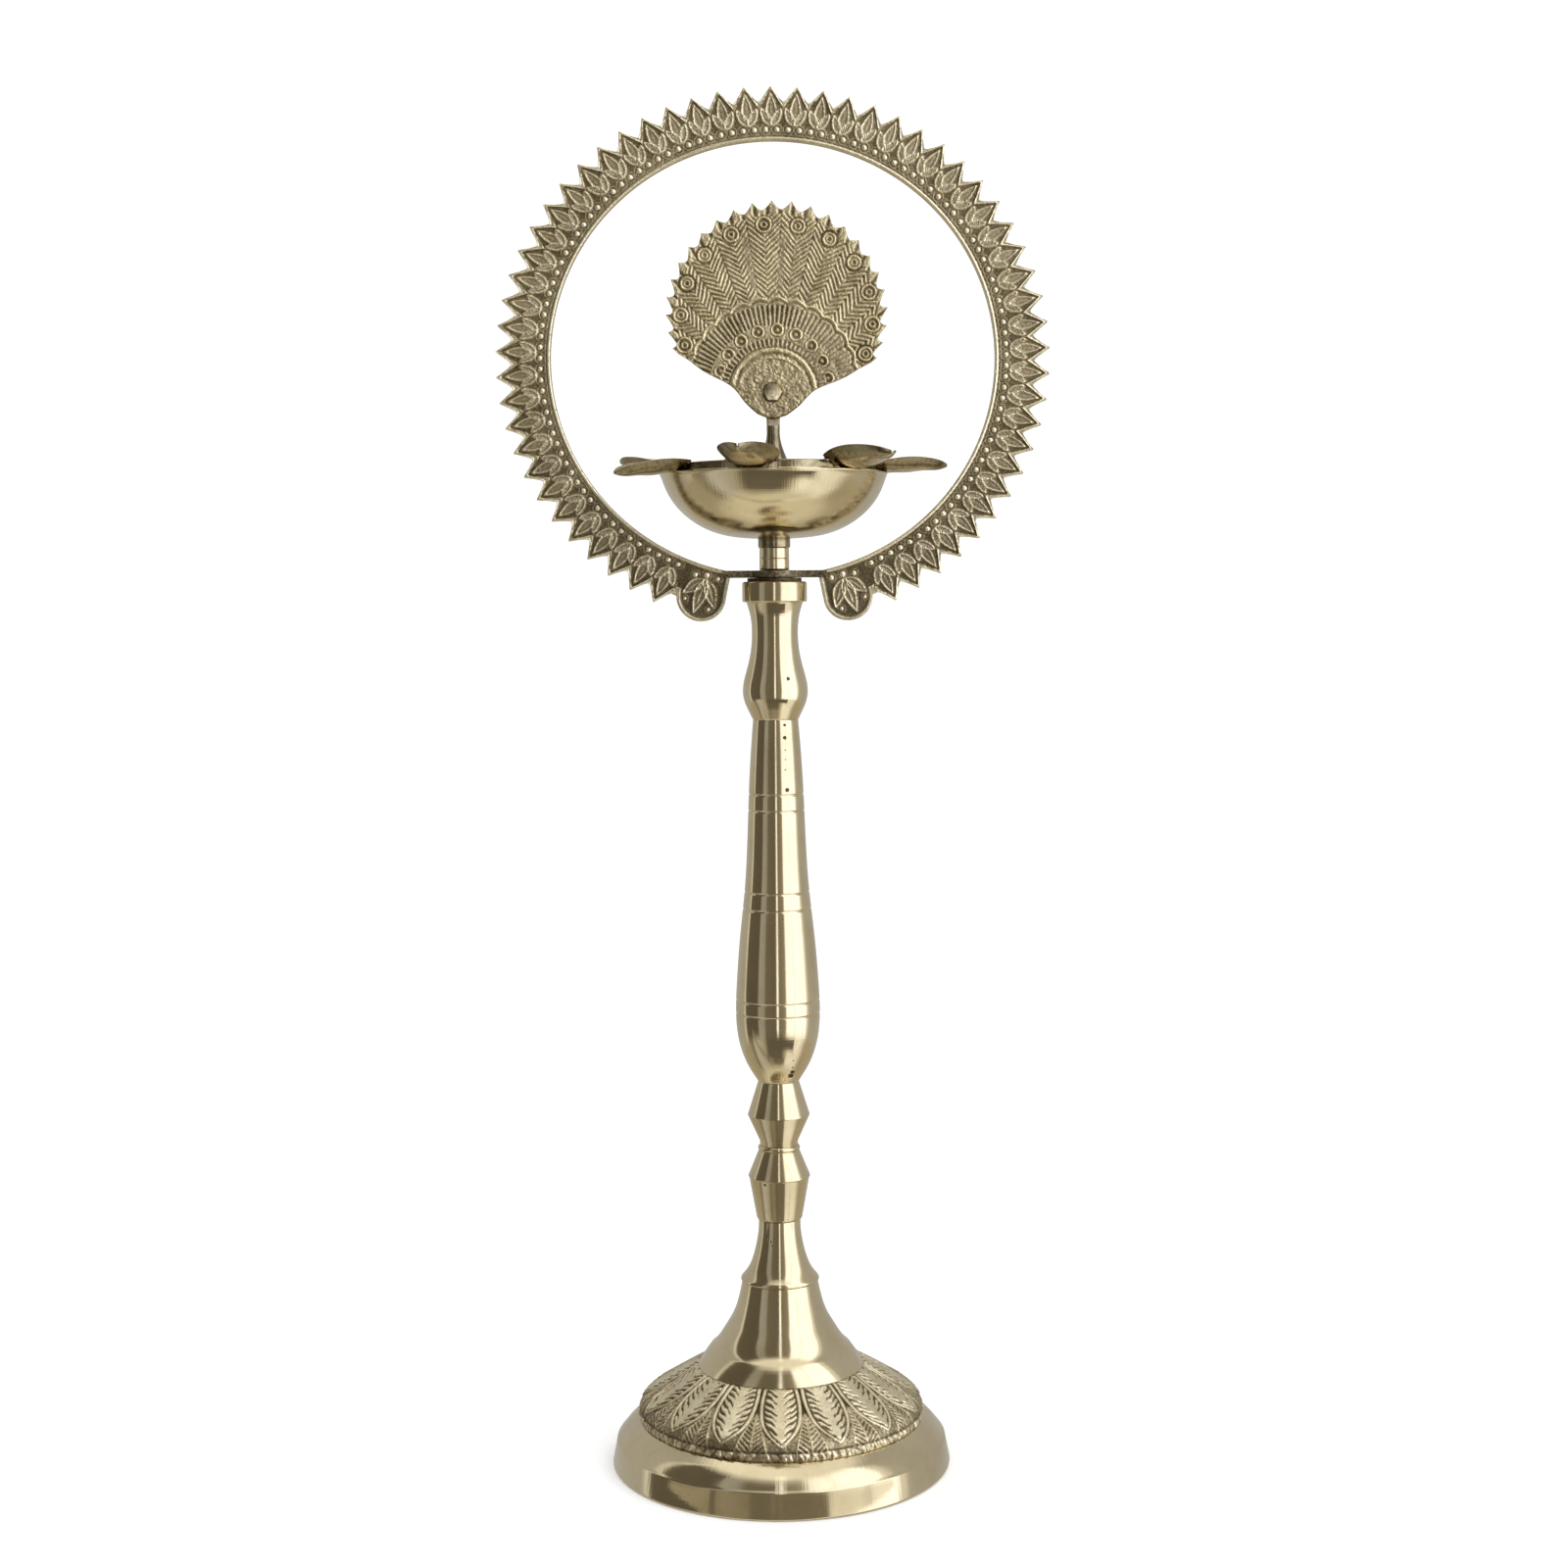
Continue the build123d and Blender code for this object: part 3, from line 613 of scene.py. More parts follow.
def leaf_dome():
    base = low("leaf_dome").z
    top = high("leaf_dome").z - base
    radius = high("leaf_dome").x
    outer = ((37, top), (43.8, 19.1), (50.1, 15.3), (58.3, 10.2), (62.7, 6.5), (radius - 0.6, 2.4))
    outer = np.r_[spline(outer, 0.2), [(radius - 0.5, 0.05)]]
    s_all = np.r_[0, np.cumsum(np.hypot(*np.diff(outer, axis=0).T))]
    length = s_all[-1]
    s = np.linspace(0, length, DOME_ROWS)
    side = np.c_[np.interp(s, s_all, outer[:, 0]), np.interp(s, s_all, outer[:, 1])]
    slope = np.gradient(side, axis=0)
    normal = np.c_[-slope[:, 1], slope[:, 0]] / np.hypot(*slope.T)[:, None]
    angles = full_turn(DOME_COLUMNS)
    h, worn = dome_relief(angles[:, None], s[None, :], side[None, :, 0], length)
    r_out = side[None, :, 0] + h * normal[None, :, 0]
    z_out = np.maximum(side[None, :, 1] + h * normal[None, :, 1], 0)
    r_out = np.minimum(r_out, radius + 0.8)
    inside = np.array([(60.6, 0), (59.8, 4), (56.2, 7.4), (48.4, 12.3), (42.1, 16.1), (35.4, top - 4),
                       (BORE, top - 4), (BORE, top)])
    ones = np.ones((len(angles), 1))
    radii = np.hstack([r_out, ones * inside[:, 0]])
    heights = np.hstack([z_out, ones * inside[:, 1]]) + base
    relief = np.hstack([worn, ones * np.full(len(inside), 0.35)]).ravel()
    points = spun(radii, heights, angles)
    faces = grid_faces(len(angles), radii.shape[1], True)
    make_piece("leaf_dome", points, faces, "stand", dome_cast, relief, 60)


# ---- halo ------------------------------------

HALO_INNER_X = 97.2
HALO_INNER_Z = 94.1
TOOTH_TIP = 1.2517              # multiples of the inner ellipse
TOOTH_ROOT = 1.179
TOOTH_COUNT = 57
FIRST_TOOTH = 26.2              # degrees from straight down
TOOTH_PITCH = (360 - 2 * FIRST_TOOTH) / (TOOTH_COUNT - 1)
LOBE_ANGLE = 16.9
LOBE_CENTRE = 1.146
LOBE_RADIUS = 10.9
LOBE_X = LOBE_CENTRE * HALO_INNER_X * math.sin(math.radians(LOBE_ANGLE))
LOBE_Z = -LOBE_CENTRE * HALO_INNER_Z * math.cos(math.radians(LOBE_ANGLE))
LOBE_START = 11.3               # degrees from straight down, like the next two
BAND_START = 21.5
LOBE_END = 22.9
LOBE_STEPS = 62
HALO_ROWS = 62
HALO_STEPS_PER_TOOTH = 23


def halo_frame(angle):
    """Inner point, outward direction and inner radius at an angle in degrees."""
    a = np.radians(angle)
    inner = np.stack([HALO_INNER_X * np.sin(a), -HALO_INNER_Z * np.cos(a)], axis=-1)
    reach = np.hypot(inner[..., 0], inner[..., 1])
    return inner, inner / reach[..., None], reach


def halo_depth(angle):
    """How far the band reaches outward at each angle, in mm."""
    inner, out, reach = halo_frame(angle)
    folded = np.minimum(angle, 360 - angle)
    u = (folded - FIRST_TOOTH) / TOOTH_PITCH
    u = np.abs(u - np.round(u))
    rise = (1 - 2 * u) ** 1.3
    teeth = reach * (TOOTH_ROOT - 1 + (TOOTH_TIP - TOOTH_ROOT) * rise)
    side = np.where(angle < 180, 1.0, -1.0)
    centre = np.stack([side * LOBE_X, np.full_like(angle, LOBE_Z)], axis=-1)
    apart = centre - inner
    forward = (apart * out).sum(-1)
    sideways = (apart ** 2).sum(-1) - forward ** 2
    lobe = forward + np.sqrt(np.clip(LOBE_RADIUS ** 2 - sideways, 0.0, None))
    first_valley = FIRST_TOOTH - TOOTH_PITCH / 2
    lobe = np.where(folded > LOBE_END, 0, lobe)
    plain = np.where(folded > BAND_START, reach * (TOOTH_ROOT - 1), 0)
    teeth = np.where(folded < first_valley, plain, teeth)
    return np.maximum(teeth, lobe)


def tooth_relief(t, u, pitch_mm, depth):
    """Palmette, beads and border of one tooth. u is -0.5..0.5 across it, t mm outward."""
    x = u * pitch_mm
    side = np.abs(u) * 2
    cup = 6.35 + 7.4 * side ** 2.6
    border = 22.2 - 8.6 * side
    raised = step_up(t - border, -0.25, 0.2)
    lip = ridge(t - border - 0.45, 0.35) + 0.7 * ridge(depth - 0.5 - t, 0.4)
    h = highest(0.75 * leaf(x, t, (0.0, 8.0), (0.0, 20.0), 1.9, 0.40),
                0.75 * leaf(np.abs(x), t, (0.35, 6.6), (0.42 * pitch_mm, 13.6), 1.5, 0.40),
                0.5 * ridge((t - cup) / (1 + 1.9 * side ** 1.6), 0.34),
                raised * 0.62 + 0.30 * lip * raised)
    return h - 0.22 * ridge(t - border + 0.55, 0.35)


def rim_relief(t, bead_x, bead_t):
    """Polished inner bead, a thin line and the row of round bosses."""
    d = np.hypot(bead_x, t - bead_t)
    h = highest(0.85 * dome(t - 0.8, 0.95), 0.28 * ridge(t - 2.35, 0.28),
                dome(d, 1.32), 0.34 * ridge(d - 2.05, 0.28))
    return h - 0.25 * ridge(d - 1.6, 0.22)


def lobe_relief(t, x, to_edge):
    """Three broad leaves, bosses and a raised border in the rounded end."""
    h = 0.62 * step_up(-to_edge, -1.7, -1.2) + 0.25 * ridge(to_edge - 1.6, 0.35)
    for base, tip, half in (((0.2, 6.0), (1.4, 21.2), 2.5), ((-0.6, 6.2), (-6.6, 17.2), 2.3),
                            ((1.2, 6.0), (8.0, 14.4), 2.2)):
        h = highest(h, 0.9 * leaf(x, t, base, tip, half, 0.42))
    for bx, bt, size in ((0.4, 4.0, 1.5), (-4.6, 4.2, 1.3), (5.2, 5.2, 1.3), (-4.4, 18.4, 1.1),
                         (6.6, 16.6, 0.9)):
        d = np.hypot(x - bx, t - bt)
        h = highest(h, dome(d, size), 0.3 * ridge(d - size - 0.6, 0.28))
    return highest(h, 0.85 * dome(t - 0.8, 0.95))


def halo_ring():
    centre = high("halo_ring").z - TOOTH_TIP * HALO_INNER_Z
    front, back = low("halo_ring").y, high("halo_ring").y
    teeth_start = FIRST_TOOTH - TOOTH_PITCH / 2
    lobe_angles = np.linspace(LOBE_START, teeth_start, LOBE_STEPS, endpoint=False)
    tooth_angles = np.linspace(teeth_start, 360 - teeth_start, TOOTH_COUNT * HALO_STEPS_PER_TOOTH + 1)
    angle = np.r_[lobe_angles, tooth_angles, 360 - lobe_angles[::-1]]
    inner, out, reach = halo_frame(angle)
    depth = halo_depth(angle)
    t = depth[:, None] * np.linspace(0, 1, HALO_ROWS)[None, :]
    pitch_mm = (reach[:, None] + t) * math.radians(TOOTH_PITCH)
    folded = np.minimum(angle, 360 - angle)
    place = ((folded - FIRST_TOOTH) / TOOTH_PITCH)[:, None]
    u = place - np.round(place)
    h = tooth_relief(t, u, pitch_mm, depth[:, None])
    near_lobe = step_up(-folded, -40, -28)[:, None]
    boss = (np.abs(u) - 0.25) * pitch_mm
    h = np.maximum(h, rim_relief(t, boss, 4.7 - 0.9 * near_lobe))
    # rounded ends
    lobe_x = np.radians(folded - LOBE_ANGLE)[:, None] * (reach[:, None] + t)
    px = np.abs(inner[:, None, 0]) + np.abs(out[:, None, 0]) * t
    pz = inner[:, None, 1] + out[:, None, 1] * t
    from_centre = np.hypot(px - LOBE_X, pz - LOBE_Z)
    to_side = (folded - LOBE_START)[:, None] * math.radians(1) * (reach[:, None] + t)
    to_edge = np.where(t > 13, LOBE_RADIUS - from_centre, np.minimum(to_side, 9.0))
    on_lobe = folded[:, None] < teeth_start - 0.3
    h = np.where(on_lobe, lobe_relief(t, lobe_x, to_edge), h)
    worn = np.clip(0.10 + 0.98 * h + stipple(h.shape, 0.05), 0, 1.2)
    h = h + stipple(h.shape, 0.04)
    edge = step_up(t, 0.0, 0.35) * step_up(depth[:, None] - t, 0.0, 0.45)
    y_front = front + 0.25 - (0.25 + 0.95 * np.clip(h, -0.2, None)) * edge
    # wall and back
    rest = np.array([(1.0, back - 0.3), (0.99, back), (0.5, back), (0.01, back), (0.0, back - 0.3)])
    ones = np.ones((len(angle), 1))
    t_all = np.hstack([t, depth[:, None] * rest[:, 0]])
    y_all = np.hstack([y_front, ones * rest[:, 1]])
    relief = np.hstack([worn, ones * np.array([0.1, 0.35, 0.4, 0.35, 0.3])]).ravel()
    x = inner[:, None, 0] + out[:, None, 0] * t_all
    z = centre + inner[:, None, 1] + out[:, None, 1] * t_all
    points = np.stack([x, y_all, z], axis=2).reshape(-1, 3)
    faces = grid_faces(len(angle), t_all.shape[1], False)
    make_piece("halo_ring", points, faces, "halo", halo_cast, relief, 60)


def halo_strap():
    """Flat bar with a round eye: its outline is a radius about the stud."""
    half_length = high("halo_strap").x
    half_depth = 4.0
    eye = high("halo_strap").y
    bottom, top = low("halo_strap").z, high("halo_strap").z
    corner = math.atan2(half_depth, half_length)
    meet = math.asin(half_depth / eye)
    marks = [0, corner - 0.02, corner, corner + 0.02, meet - 0.03, meet, meet + 0.03, math.pi / 2]
    quarter = np.unique(np.concatenate([np.linspace(a, b, 9) for a, b in zip(marks, marks[1:])]))
    half = np.r_[quarter, math.pi - quarter]
    angles = np.unique(np.round(np.r_[half, 2 * math.pi - half], 9))
    angles = angles[angles < 2 * math.pi - 1e-6]
    bar = np.minimum(half_length / np.maximum(np.abs(np.cos(angles)), 1e-6),
                     half_depth / np.maximum(np.abs(np.sin(angles)), 1e-6))
    outline = np.maximum(eye, bar)[:, None]
    bore = np.full_like(outline, STUD_BORE)
    ease = 0.22
    middle = outline + rng.normal(0, 0.03, outline.shape)
    radii = np.hstack([bore, outline - ease, middle, middle, outline - ease, bore])
    heights = np.array([bottom, bottom, bottom + ease, top - ease, top, top]) * np.ones((len(angles), 1))
    points = spun(radii, heights, angles)
    faces = grid_faces(len(angles), 6, True)
    # a low relief value keeps the strap near-black: painted shade
    make_piece("halo_strap", points, faces, "halo", strap_painted_shade, np.full(len(points), 0.12))


# ---- bowl and spouts -------------------------

SPOUT_COUNT = 7
FIRST_SPOUT = -101.0
SPOUT_WALL = 1.3
# how far out, half width, height of the upper edge and of the underside above the bowl's bottom
SPOUT_SECTIONS = ((44.6, 10.8, 32.4, 28.4), (52, 12.8, 33.8, 28.6), (60, 12.2, 34.6, 28.8),
                  (67, 9.4, 34.5, 29.4), (73, 5.2, 33.7, 30.2), (76.4, 0.7, 32.6, 31.4))
SPOUT_PIVOT = (46.0, 30.1)
# each one is bent by hand: how far its tip is raised and how far it is rolled, degrees
SPOUT_BENDS = ((7, 0), (3, -8), (-0.5, 0), (2, 3), (-2, -3), (7, 0), (-9, 0))
TIP_LIFT = (0.2, 0.0, -0.3, 0.2, 0.4, 0.3, -0.2)
NOTCH_HALF_WIDTH = 9.6
NOTCH_FLOOR = 29.8


def spout_angles():
    return np.radians(FIRST_SPOUT + np.arange(SPOUT_COUNT) * 360 / SPOUT_COUNT)


def oil_bowl():
    base = low("oil_bowl").z
    profile = section(
        [(STUD_BORE, 0), (9, 0)],
        ((9, 0), (18, 0.8), (29.8, 4.2), (41.2, 12.2), (46.9, 20.2), (49.7, 27.2)),
        [(49.7, 27.2), (50, 27.6), (50, 28.1), (49.6, 28.4), (46.1, 28.4), (46.1, 29.4), (46.1, 30.2),
         (46.1, 31.6), (45.7, 32), (44.1, 32), (43.7, 31.6), (43.7, 30.2), (43.7, 29.4), (43.7, 26)],
        ((43.7, 26), (42.7, 20.4), (38.9, 13.8), (28.9, 6.5), (17.6, 3.3), (9, 2.9)),
        [(9, 2.9), (STUD_BORE, 2.9), (STUD_BORE, 0)], edge=0.18)
    angles = full_turn(BOWL_COLUMNS)
    radii = np.tile(profile[:, 0], (len(angles), 1))
    heights = np.tile(profile[:, 1], (len(angles), 1))
    # slow waves left by the spinning tool and the hammer
    a = angles[:, None]
    waves = 0.10 * np.sin(3 * a + 0.6) + 0.07 * np.sin(7 * a + 0.12 * heights)
    waves = waves + 0.05 * np.sin(12 * a - 0.3 * heights)
    radii = radii + waves * step_up(radii, 12, 30) * step_up(-heights, -28.0, -26.0)
    for turn in spout_angles():
        off = 45 * np.sin(a - turn)
        facing = np.cos(a - turn) > 0
        cut = NOTCH_FLOOR + 2.2 * (off / NOTCH_HALF_WIDTH) ** 4
        inside = facing & (np.abs(off) < NOTCH_HALF_WIDTH) & (heights > 29)
        heights = np.where(inside, np.minimum(heights, cut), heights)
    points = spun(radii, heights + base, angles)
    faces = grid_faces(len(angles), len(profile), True)
    make_piece("oil_bowl", points, faces, "bowl", bowl_brass)
    neck = section([(STUD_BORE, 0), (6.3, 0), (6.6, 0.4), (6.6, 4.8), (6.4, 5), (6.6, 5.2), (6.5, 9.6),
                    (7.1, 10), (7.1, 13.9), (STUD_BORE, 13.9), (STUD_BORE, 0)])
    turned_piece("bowl_neck", neck, NECK_COLUMNS, "bowl", neck_brass)


def wick_spout(number, turn):
    """A scooped leaf: an outer and an inner arc per station, joined by a rounded rim."""
    base = low("oil_bowl").z
    stations = spline(SPOUT_SECTIONS, 0.7)
    across = np.linspace(-1, 1, 25)
    wobble = rng.normal(0, 1, 4)
    rows, wall_shade = [], []
    for out, half, top, bottom in stations:
        wave = 0.18 * math.sin(0.21 * out + wobble[0]) + 0.12 * math.sin(0.5 * out + wobble[1])
        lift = TIP_LIFT[number - 1] * max((out - 58) / 18, 0) ** 1.5
        top, bottom = top + lift, bottom + lift
        wall = min(SPOUT_WALL, 0.45 * (top - bottom), 0.6 * half)
        outer_y = half * across
        outer_z = bottom + (top - bottom) * np.abs(across) ** 2.8 + wave * (1 - across ** 2)
        inner_half = max(half - wall, 0.15)
        inner_y = inner_half * across[::-1]
        depth = max(top - bottom - wall, 0.1)
        inner_z = top - depth * (1 - np.abs(across[::-1]) ** 2.8) + wave * (1 - across ** 2)
        y = np.r_[outer_y, (half + inner_half) / 2, inner_y, -(half + inner_half) / 2]
        z = np.r_[outer_z, top + 0.25 * wall, inner_z, top + 0.25 * wall]
        rows.append(np.stack([np.full_like(y, out), y, z + base], axis=1))
        share = np.abs(across)
        # a spout's relief attribute only sets its painted shade: most on the upper outer walls and the tip
        wall_shade.append(np.r_[share + 0.35 * step_up(out, 66, 76), 0.2, 0.5 * share[::-1], 0.2])
    local = np.array(rows)
    rise, roll = SPOUT_BENDS[number - 1]
    pivot = Vector((SPOUT_PIVOT[0], 0, base + SPOUT_PIVOT[1]))
    bend = Matrix.Rotation(math.radians(-rise), 3, "Y") @ Matrix.Rotation(math.radians(roll), 3, "X")
    bend = Matrix.Rotation(turn, 3, "Z") @ bend
    shift = Matrix.Rotation(turn, 3, "Z") @ pivot - bend @ pivot
    points = local.reshape(-1, 3) @ np.array(bend).T + np.array(shift)
    faces = grid_faces(len(local), local.shape[1], False)
    relief = np.concatenate(wall_shade)
    make_piece(f"wick_spout_{number}", points, faces, "bowl", spout_brass, relief, 50)


def braze(turns):
    """Beads of filler metal where the spouts meet the rim band."""
    points, faces = [], []
    theta, phi = np.meshgrid(np.linspace(0, math.pi, 9), full_turn(12), indexing="ij")
    ball = np.array(grid_faces(*theta.shape, False)[:-2])
    for turn in turns:
        for off in (-9.8, -5.2, 0.8, 6.1, 9.9):
            size = rng.uniform(0.45, 1.15) * (1.35 if abs(off) > 9 else 1)
            lump = 1 + 0.18 * rng.normal(0, 1, theta.shape)
            x = 46.5 + size * 0.7 * lump * np.sin(theta) * np.cos(phi)
            y = off + rng.uniform(-1, 1) + size * 1.5 * lump * np.sin(theta) * np.sin(phi)
            z = low("oil_bowl").z + 28.6 + 3.2 * (abs(off) / 9.9) ** 2 + size * 0.55 * lump * np.cos(theta)
            c, s = math.cos(turn), math.sin(turn)
            faces += (ball + len(points) * theta.size).tolist()
            points.append(np.stack([x * c - y * s, x * s + y * c, z], axis=2).reshape(-1, 3))
    piece = make_piece("spout_braze", np.concatenate(points), faces, "bowl", spout_brass)
    piece.modifiers.new("weld", "WELD").merge_threshold = 0.02 * MM


# ---- tail fan --------------------------------

FAN_RADIUS = 48.1
FAN_CENTRE = 34.3
FAN_LEAN = math.radians(3.1)
FAN_TIPS = 24
TIP_PITCH = 6.0
NOTCH_DEPTH = 3.4
FAN_BORE = 2.06
FAN_SPACING = 0.30
FEATHER_PITCH = 11.8
FAN_SIDE = ((0, -11.2), (6.4, -9.5), (12.2, -4.6), (17.4, 1.2), (24.9, 5.2), (31.4, 8.3), (37.2, 12.2))


def fan_edge(angle, depth=0.0):
    """Distance from the bolt to the round edge, at an angle in degrees from the fan's middle."""
    a = np.radians(angle)
    r = FAN_RADIUS - depth
    return FAN_CENTRE * np.cos(a) + np.sqrt(np.clip(r * r - (FAN_CENTRE * np.sin(a)) ** 2, 0, None))


def fan_outline():
    """Notched round edge and concave lower sides, about the bolt."""
    side = spline(FAN_SIDE[1:], 0.8)
    foot = spline(((-6.4, -9.5), (0, -11.2), (6.4, -9.5)), 0.7)[9:-1]
    half = [tuple(p) for p in np.concatenate([foot, side])]
    edge = []
    for i in reversed(range(FAN_TIPS // 2)):
        for share in np.linspace(0.5, -0.5, 13):
            angle = (i + 0.5 + share) * TIP_PITCH
            if i == FAN_TIPS // 2 - 1 and share > 0.3:
                continue
            lift = 0.5 * math.sin(7.1 * i + 1.3)
            dip = NOTCH_DEPTH * (1 - (1 - 2 * abs(share)) ** 1.6) - lift * (1 - 2 * abs(share)) ** 2
            r = fan_edge(angle, 0) - dip
            edge.append((r * math.sin(math.radians(angle)), r * math.cos(math.radians(angle))))
    right = half + edge[:-1]
    left = [(-x, z) for x, z in reversed(right[1:])]
    return right + [edge[-1]] + left


def fan_relief(x, z):
    """Eyes, herringbone feathers, ribbed tiers and arcs round the bolt."""
    rho = np.hypot(x, z)
    theta = np.degrees(np.arctan2(x, z))
    # herringbone barbs about each feather's spine
    from_spine = np.abs((theta / FEATHER_PITCH) % 1 - 0.5) * FEATHER_PITCH
    lateral = np.radians(from_spine) * rho
    half_feather = np.radians(FEATHER_PITCH / 2) * rho
    barb = ((rho - 0.95 * lateral + 0.45 * patchy(x, z, 5.0)) / 2.3) % 1
    ragged = 0.85 + 0.30 * patchy(x, z, 3.0)
    barbs = 0.22 + 0.66 * step_up(1 - np.abs(2 * barb - 1), 0.10, 0.75) * ragged
    barbs -= 0.22 * ridge(half_feather - lateral, 0.4)
    h = np.maximum(barbs, 0.0)
    # plain stippled strips where two feathers part
    for angle in (-13.5, 1.0):
        strip = ridge((theta - angle) * np.radians(1) * rho, 2.1)
        strip = strip * step_up(rho, 42, 48) * step_up(-rho, -73, -66)
        h = h * (1 - 0.9 * strip) + 0.40 * strip
    # fine barbs run out into the tips
    outer = fan_edge(np.clip(theta, -75, 75))
    tips = step_up(rho - outer, -6.5, -4.5) * (np.abs(theta) < 74)
    fine = 0.85 * step_up(np.abs(np.sin(math.pi * (theta / TIP_PITCH) * 1.5 + 0.4)), 0.1, 0.7)
    h = h * (1 - tips) + tips * fine
    # rim eyes
    for k in range(-6, 6):
        angle = (k + 0.5) * FEATHER_PITCH
        r = fan_edge(angle) - 7.6 - 2.2 * math.exp(-(angle / 34) ** 2)
        d = np.hypot(x - r * math.sin(math.radians(angle)), z - r * math.cos(math.radians(angle)))
        inside = step_up(-d, -4.2, -3.8)
        size = 2.85 + 0.3 * math.sin(5.0 * k)
        eye = 1.15 * ridge(d - size, 0.62) + 0.85 * ridge(d - 1.2, 0.50) - 0.1
        h = h * (1 - inside) + inside * eye
    # scalloped tier
    tier = 40.2 - 2.6 * np.clip(np.abs(theta) / 75, 0, 1.3) ** 2
    tier = tier + 1.5 * np.abs(np.cos(math.pi * theta / 12.4))
    below = step_up(tier - rho, -0.2, 0.3)
    # ribs, bold on the left and worn away to the right
    bold = 0.70 - 0.30 * np.tanh((theta - 18) / 14)
    slots = step_up(np.abs(np.cos(math.pi * theta / 3.4)), 0.55, 0.95)
    slots = slots * step_up(rho, 28.4, 29.4) * step_up(-rho, -38.2, -37.0)
    inner = 0.62 - 0.75 * bold * slots - 0.35 * ridge(tier - rho - 2.0, 0.5)
    inner += 0.45 * ridge(tier - rho - 0.7, 0.6)
    h = h * (1 - below) + below * inner
    # small eyes under their own scallops
    for k in range(-4, 5):
        angle = math.radians(18.0 * k + 1.0)
        r = 24.4 + 2.6 * math.cos(angle) ** 2
        d = np.hypot(x - r * math.sin(angle), z - r * math.cos(angle))
        inside = step_up(-d, -3.5, -3.1)
        eye = 1.15 * ridge(d - 2.45, 0.6) + 0.6 * dome(d, 1.0)
        h = h * (1 - inside) + inside * eye
    near = rho < 23.8
    low_slots = step_up(np.abs(np.cos(math.pi * theta / 5.2)), 0.45, 0.9)
    low_slots = low_slots * step_up(rho, 20.0, 20.6) * step_up(-rho, -23.4, -22.6)
    h = np.where(near, 0.60 - 0.6 * bold * low_slots, h)
    # raised arcs and the rough boss that the nut bears on
    spread = step_up(-np.abs(theta - 12), -104, -86)
    lumps = 0.52 + 0.20 * patchy(x, z, 1.5) + 0.18 * patchy(x, z, 0.8)
    h = np.where(rho < 19.8, lumps, h)
    h = h - 0.35 * spread * ridge(rho - 16.7, 0.5) - 0.45 * spread * ridge(rho - 19.8, 0.5)
    h = highest(h, spread * 1.05 * dome(rho - 18.3, 1.15),
                spread * 0.85 * dome(rho - 15.0, 0.9) * step_up(-theta, -80, -40))
    h = h + 0.12 * patchy(x, z, 0.7) + 0.12 * patchy(x, z, 2.5)
    return np.where(rho < 4.4, 0.05, h)


def fan_limit(outline, points):
    """How far the outline is from the bolt in each point's direction."""
    angle = np.arctan2(*outline.T)
    order = np.argsort(angle)
    return np.interp(np.arctan2(*points.T), angle[order], np.hypot(*outline.T)[order], period=2 * math.pi)


def filled(points, edges):
    """Triangles between the outline and the bolt hole, and where each point went."""
    verts, _, triangles, origin, *_ = delaunay_2d_cdt([tuple(p) for p in points], edges, [], 1, 1e-6)
    verts, triangles = np.array([tuple(v) for v in verts]), np.array(triangles)
    outside_hole = np.hypot(*verts[triangles].mean(axis=1).T) > FAN_BORE * 0.985
    where = np.zeros(len(points), int)
    for new, olds in enumerate(origin):
        where[olds] = new
    return verts, triangles[outside_hole], where


